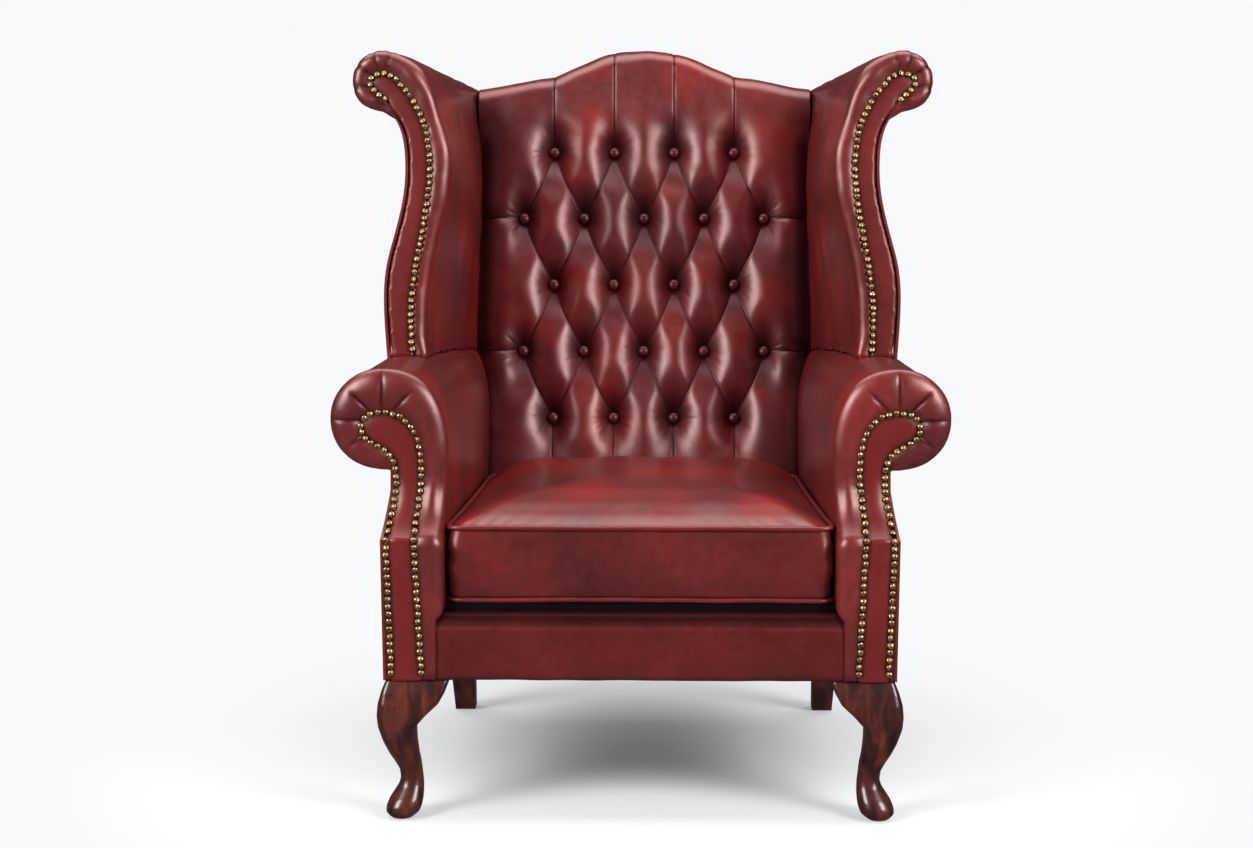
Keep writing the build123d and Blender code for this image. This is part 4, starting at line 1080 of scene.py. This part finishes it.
def piping(name, z, node, seed):
    """A cord in the seam, covered in leather."""
    count = 400
    edge_x, edge_y = cushion_outline(np.arange(count) / count)
    share = 1 - pipe_inset / reach_in
    sway = pipe_sway * wave_noise(np.stack([edge_x, edge_y, 0 * edge_x], 1), 120 * mm, seed)
    curve = bpy.data.curves.new(name, "CURVE")
    curve.dimensions = "3D"
    spline = curve.splines.new("POLY")
    spline.points.add(count - 1)
    for point, px, py, pz in zip(spline.points, edge_x, edge_y, z + sway):
        point.co = (px * share, middle_y + (py - middle_y) * share, pz, 1)
    spline.use_cyclic_u = True
    curve.bevel_depth = pipe_r
    curve.bevel_resolution = 3
    piece = bpy.data.objects.new(name, curve)
    bpy.context.scene.collection.objects.link(piece)
    select_only(piece)
    bpy.ops.object.convert(target="MESH")
    piece = bpy.context.object
    every = np.ones(len(piece.data.vertices))
    paint(piece, dark=0.12 * every, glow=0.2 * every)
    smooth_shade(piece)
    seat_on(piece, "cushion", leather, "leather", node)


piping("cushion_cord_top", top_pipe, "cushion_piping_top", 51)
piping("cushion_cord_bottom", bottom_pipe, "cushion_piping_bottom", 52)

# Front rail cover: leather over a padded rail with a full, rounded top edge
rail_swell = 2.0 * mm
rail_roll = 24 * mm
rail_half = 300 * mm
rail_end = 20 * mm
rail_top_shade_z = (268 * mm, 298 * mm)
rail_low_edge = 16 * mm
rail_slack = 0.7 * mm

rail = merged_copy("front_border", "rail_cover")
soften(rail, 2.6 * mm, 6)
places, normals = points_of(rail), normals_of(rail)
rise = rail_swell * step_up(-normals[:, 1], 0.2, 0.9) + rail_slack * wave_noise(places, 90 * mm, 61)
inner = step_up(rail_half - np.abs(places[:, 0]), 0, rail_end)
moved = places + normals * (rise * inner)[:, None]
ahead = front_y + rail_setback + rail_roll - moved[:, 1]
above = moved[:, 2] - (moved[:, 2].max() - rail_roll)
reach = np.hypot(ahead, above)
outside = (ahead > 0) & (above > 0) & (reach > rail_roll)
keep = np.where(outside, rail_roll / np.maximum(reach, mm), 1.0)
moved[:, 1] += ahead * (1 - keep)
moved[:, 2] -= above * (1 - keep)
place_points(rail, moved)
# Painted shade along the bottom edge and over the top under the cushion, and dark at least a third all over;
# a little brighter red between
low = 1 - step_up(places[:, 2], body_z, body_z + rail_low_edge)
high = step_up(places[:, 2], *rail_top_shade_z)
paint(rail, dark=np.maximum(np.maximum(0.6 * low, 0.9 * high), 0.36), glow=0.15 * (1 - low) * (1 - high))
smooth_shade(rail)
seat_on(rail, "chair", leather, "leather", "rail_cover")

# Front legs: carved and polished, with no flats left between the sections
leg = merged_copy("cabriole_leg", "front_leg_right")
soften(leg, 2 * mm, 6)
pair(leg, "cabriole_leg", material=mahogany, slot="mahogany")

# Every solid takes its finish, and the ones with no piece of their own are shown with it
for subpart in frame["record"]["subparts"]:
    node = frame["nodes"][subpart["node"]]
    node.data.materials.clear()
    node.data.materials.append(finishes[subpart["material_slot"]])

# Studio: a white floor that runs into a white wall, two soft lights from the front sides and one above
wall_white = "#f8f9fa"
dim_room = "#48484a"

bpy.ops.object.select_all(action="DESELECT")
bpy.ops.mesh.primitive_plane_add(size=14, location=(0, 0, 0))
floor = bpy.context.object
floor.name = "studio_floor"
paper, tree, shader, place = new_material("matt_white_paper")
shader.inputs["Base Color"].default_value = linear("#f4f5f6")
shader.inputs["Roughness"].default_value = 0.9
shader.inputs["Specular IOR Level"].default_value = 0.2
# Away from the chair the camera sees the paper as bright as the wall behind it
away = add_node(tree, "ShaderNodeVectorMath", {"operation": "LENGTH"}, _0=place).outputs["Value"]
far = add_node(
    tree, "ShaderNodeMapRange", {"interpolation_type": "SMOOTHSTEP"}, Value=away, From_Min=0.1, From_Max=1.0,
    To_Min=0.08,
).outputs[0]
rays = add_node(tree, "ShaderNodeLightPath")
seen_far = add_node(tree, "ShaderNodeMath", times, _0=far, _1=rays.outputs["Is Camera Ray"]).outputs[0]
bright = add_node(tree, "ShaderNodeEmission", Color=wall_white, Strength=1.0)
sheet = add_node(
    tree, "ShaderNodeMixShader", _0=seen_far, _1=shader.outputs["BSDF"], _2=bright.outputs["Emission"],
)
# The leather mirrors a dim room and not the lit paper
dim = add_node(tree, "ShaderNodeEmission", Color=dim_room, Strength=1.0)
mirror = add_node(
    tree, "ShaderNodeMixShader", _0=rays.outputs["Is Glossy Ray"], _1=sheet.outputs["Shader"],
    _2=dim.outputs["Emission"],
)
output = next(node for node in tree.nodes if node.type == "OUTPUT_MATERIAL")
tree.links.new(mirror.outputs["Shader"], output.inputs["Surface"])
floor.data.materials.append(paper)


def soft_light(name, place, aim, width, height, power):
    """A rectangular softbox."""
    lamp = bpy.data.lights.new(name, "AREA")
    lamp.shape = "RECTANGLE"
    lamp.size = width
    lamp.size_y = height
    lamp.energy = power
    holder = bpy.data.objects.new(name, lamp)
    holder.location = place
    holder.rotation_euler = (Vector(aim) - Vector(place)).to_track_quat("-Z", "Y").to_euler()
    bpy.context.scene.collection.objects.link(holder)


for name, side in (("left_softbox", -1), ("right_softbox", 1)):
    soft_light(name, place=(side * 2.3, -2.2, 1.9), aim=(0, 0.1, 0.8), width=1.3, height=1.6, power=96)
soft_light("top_softbox", place=(0, 0.05, 3.0), aim=(0, 0, 0.5), width=4.0, height=1.7, power=88)

world = bpy.data.worlds.new("studio")
bpy.context.scene.world = world
world.use_nodes = True
tree = world.node_tree
tree.nodes.clear()
rays = add_node(tree, "ShaderNodeLightPath")
# The wall is white to the camera, a weak fill on the chair and almost dark in its gloss
blended = {"data_type": "FLOAT"}
fill = add_node(tree, "ShaderNodeMix", blended, _0=rays.outputs["Is Glossy Ray"], _2=0.15, _3=0.06)
strength = add_node(
    tree, "ShaderNodeMix", blended, _0=rays.outputs["Is Camera Ray"], _2=fill.outputs[0], _3=1.0,
)
sky = add_node(tree, "ShaderNodeBackground", Color=wall_white, Strength=strength.outputs[0])
add_node(tree, "ShaderNodeOutputWorld", Surface=sky.outputs["Background"])

# Camera, at the photograph's angle
camera = bpy.data.cameras.new("photo_camera")
camera.lens = 64.36
camera.sensor_width = 36
holder = bpy.data.objects.new("photo_camera", camera)
holder.location = (0.032, front_y - 3.081, 0.976)
holder.rotation_euler = (math.radians(90 - 7.48), 0, math.radians(0.94))
bpy.context.scene.collection.objects.link(holder)
bpy.context.scene.camera = holder
bpy.context.scene.view_settings.view_transform = "Standard"
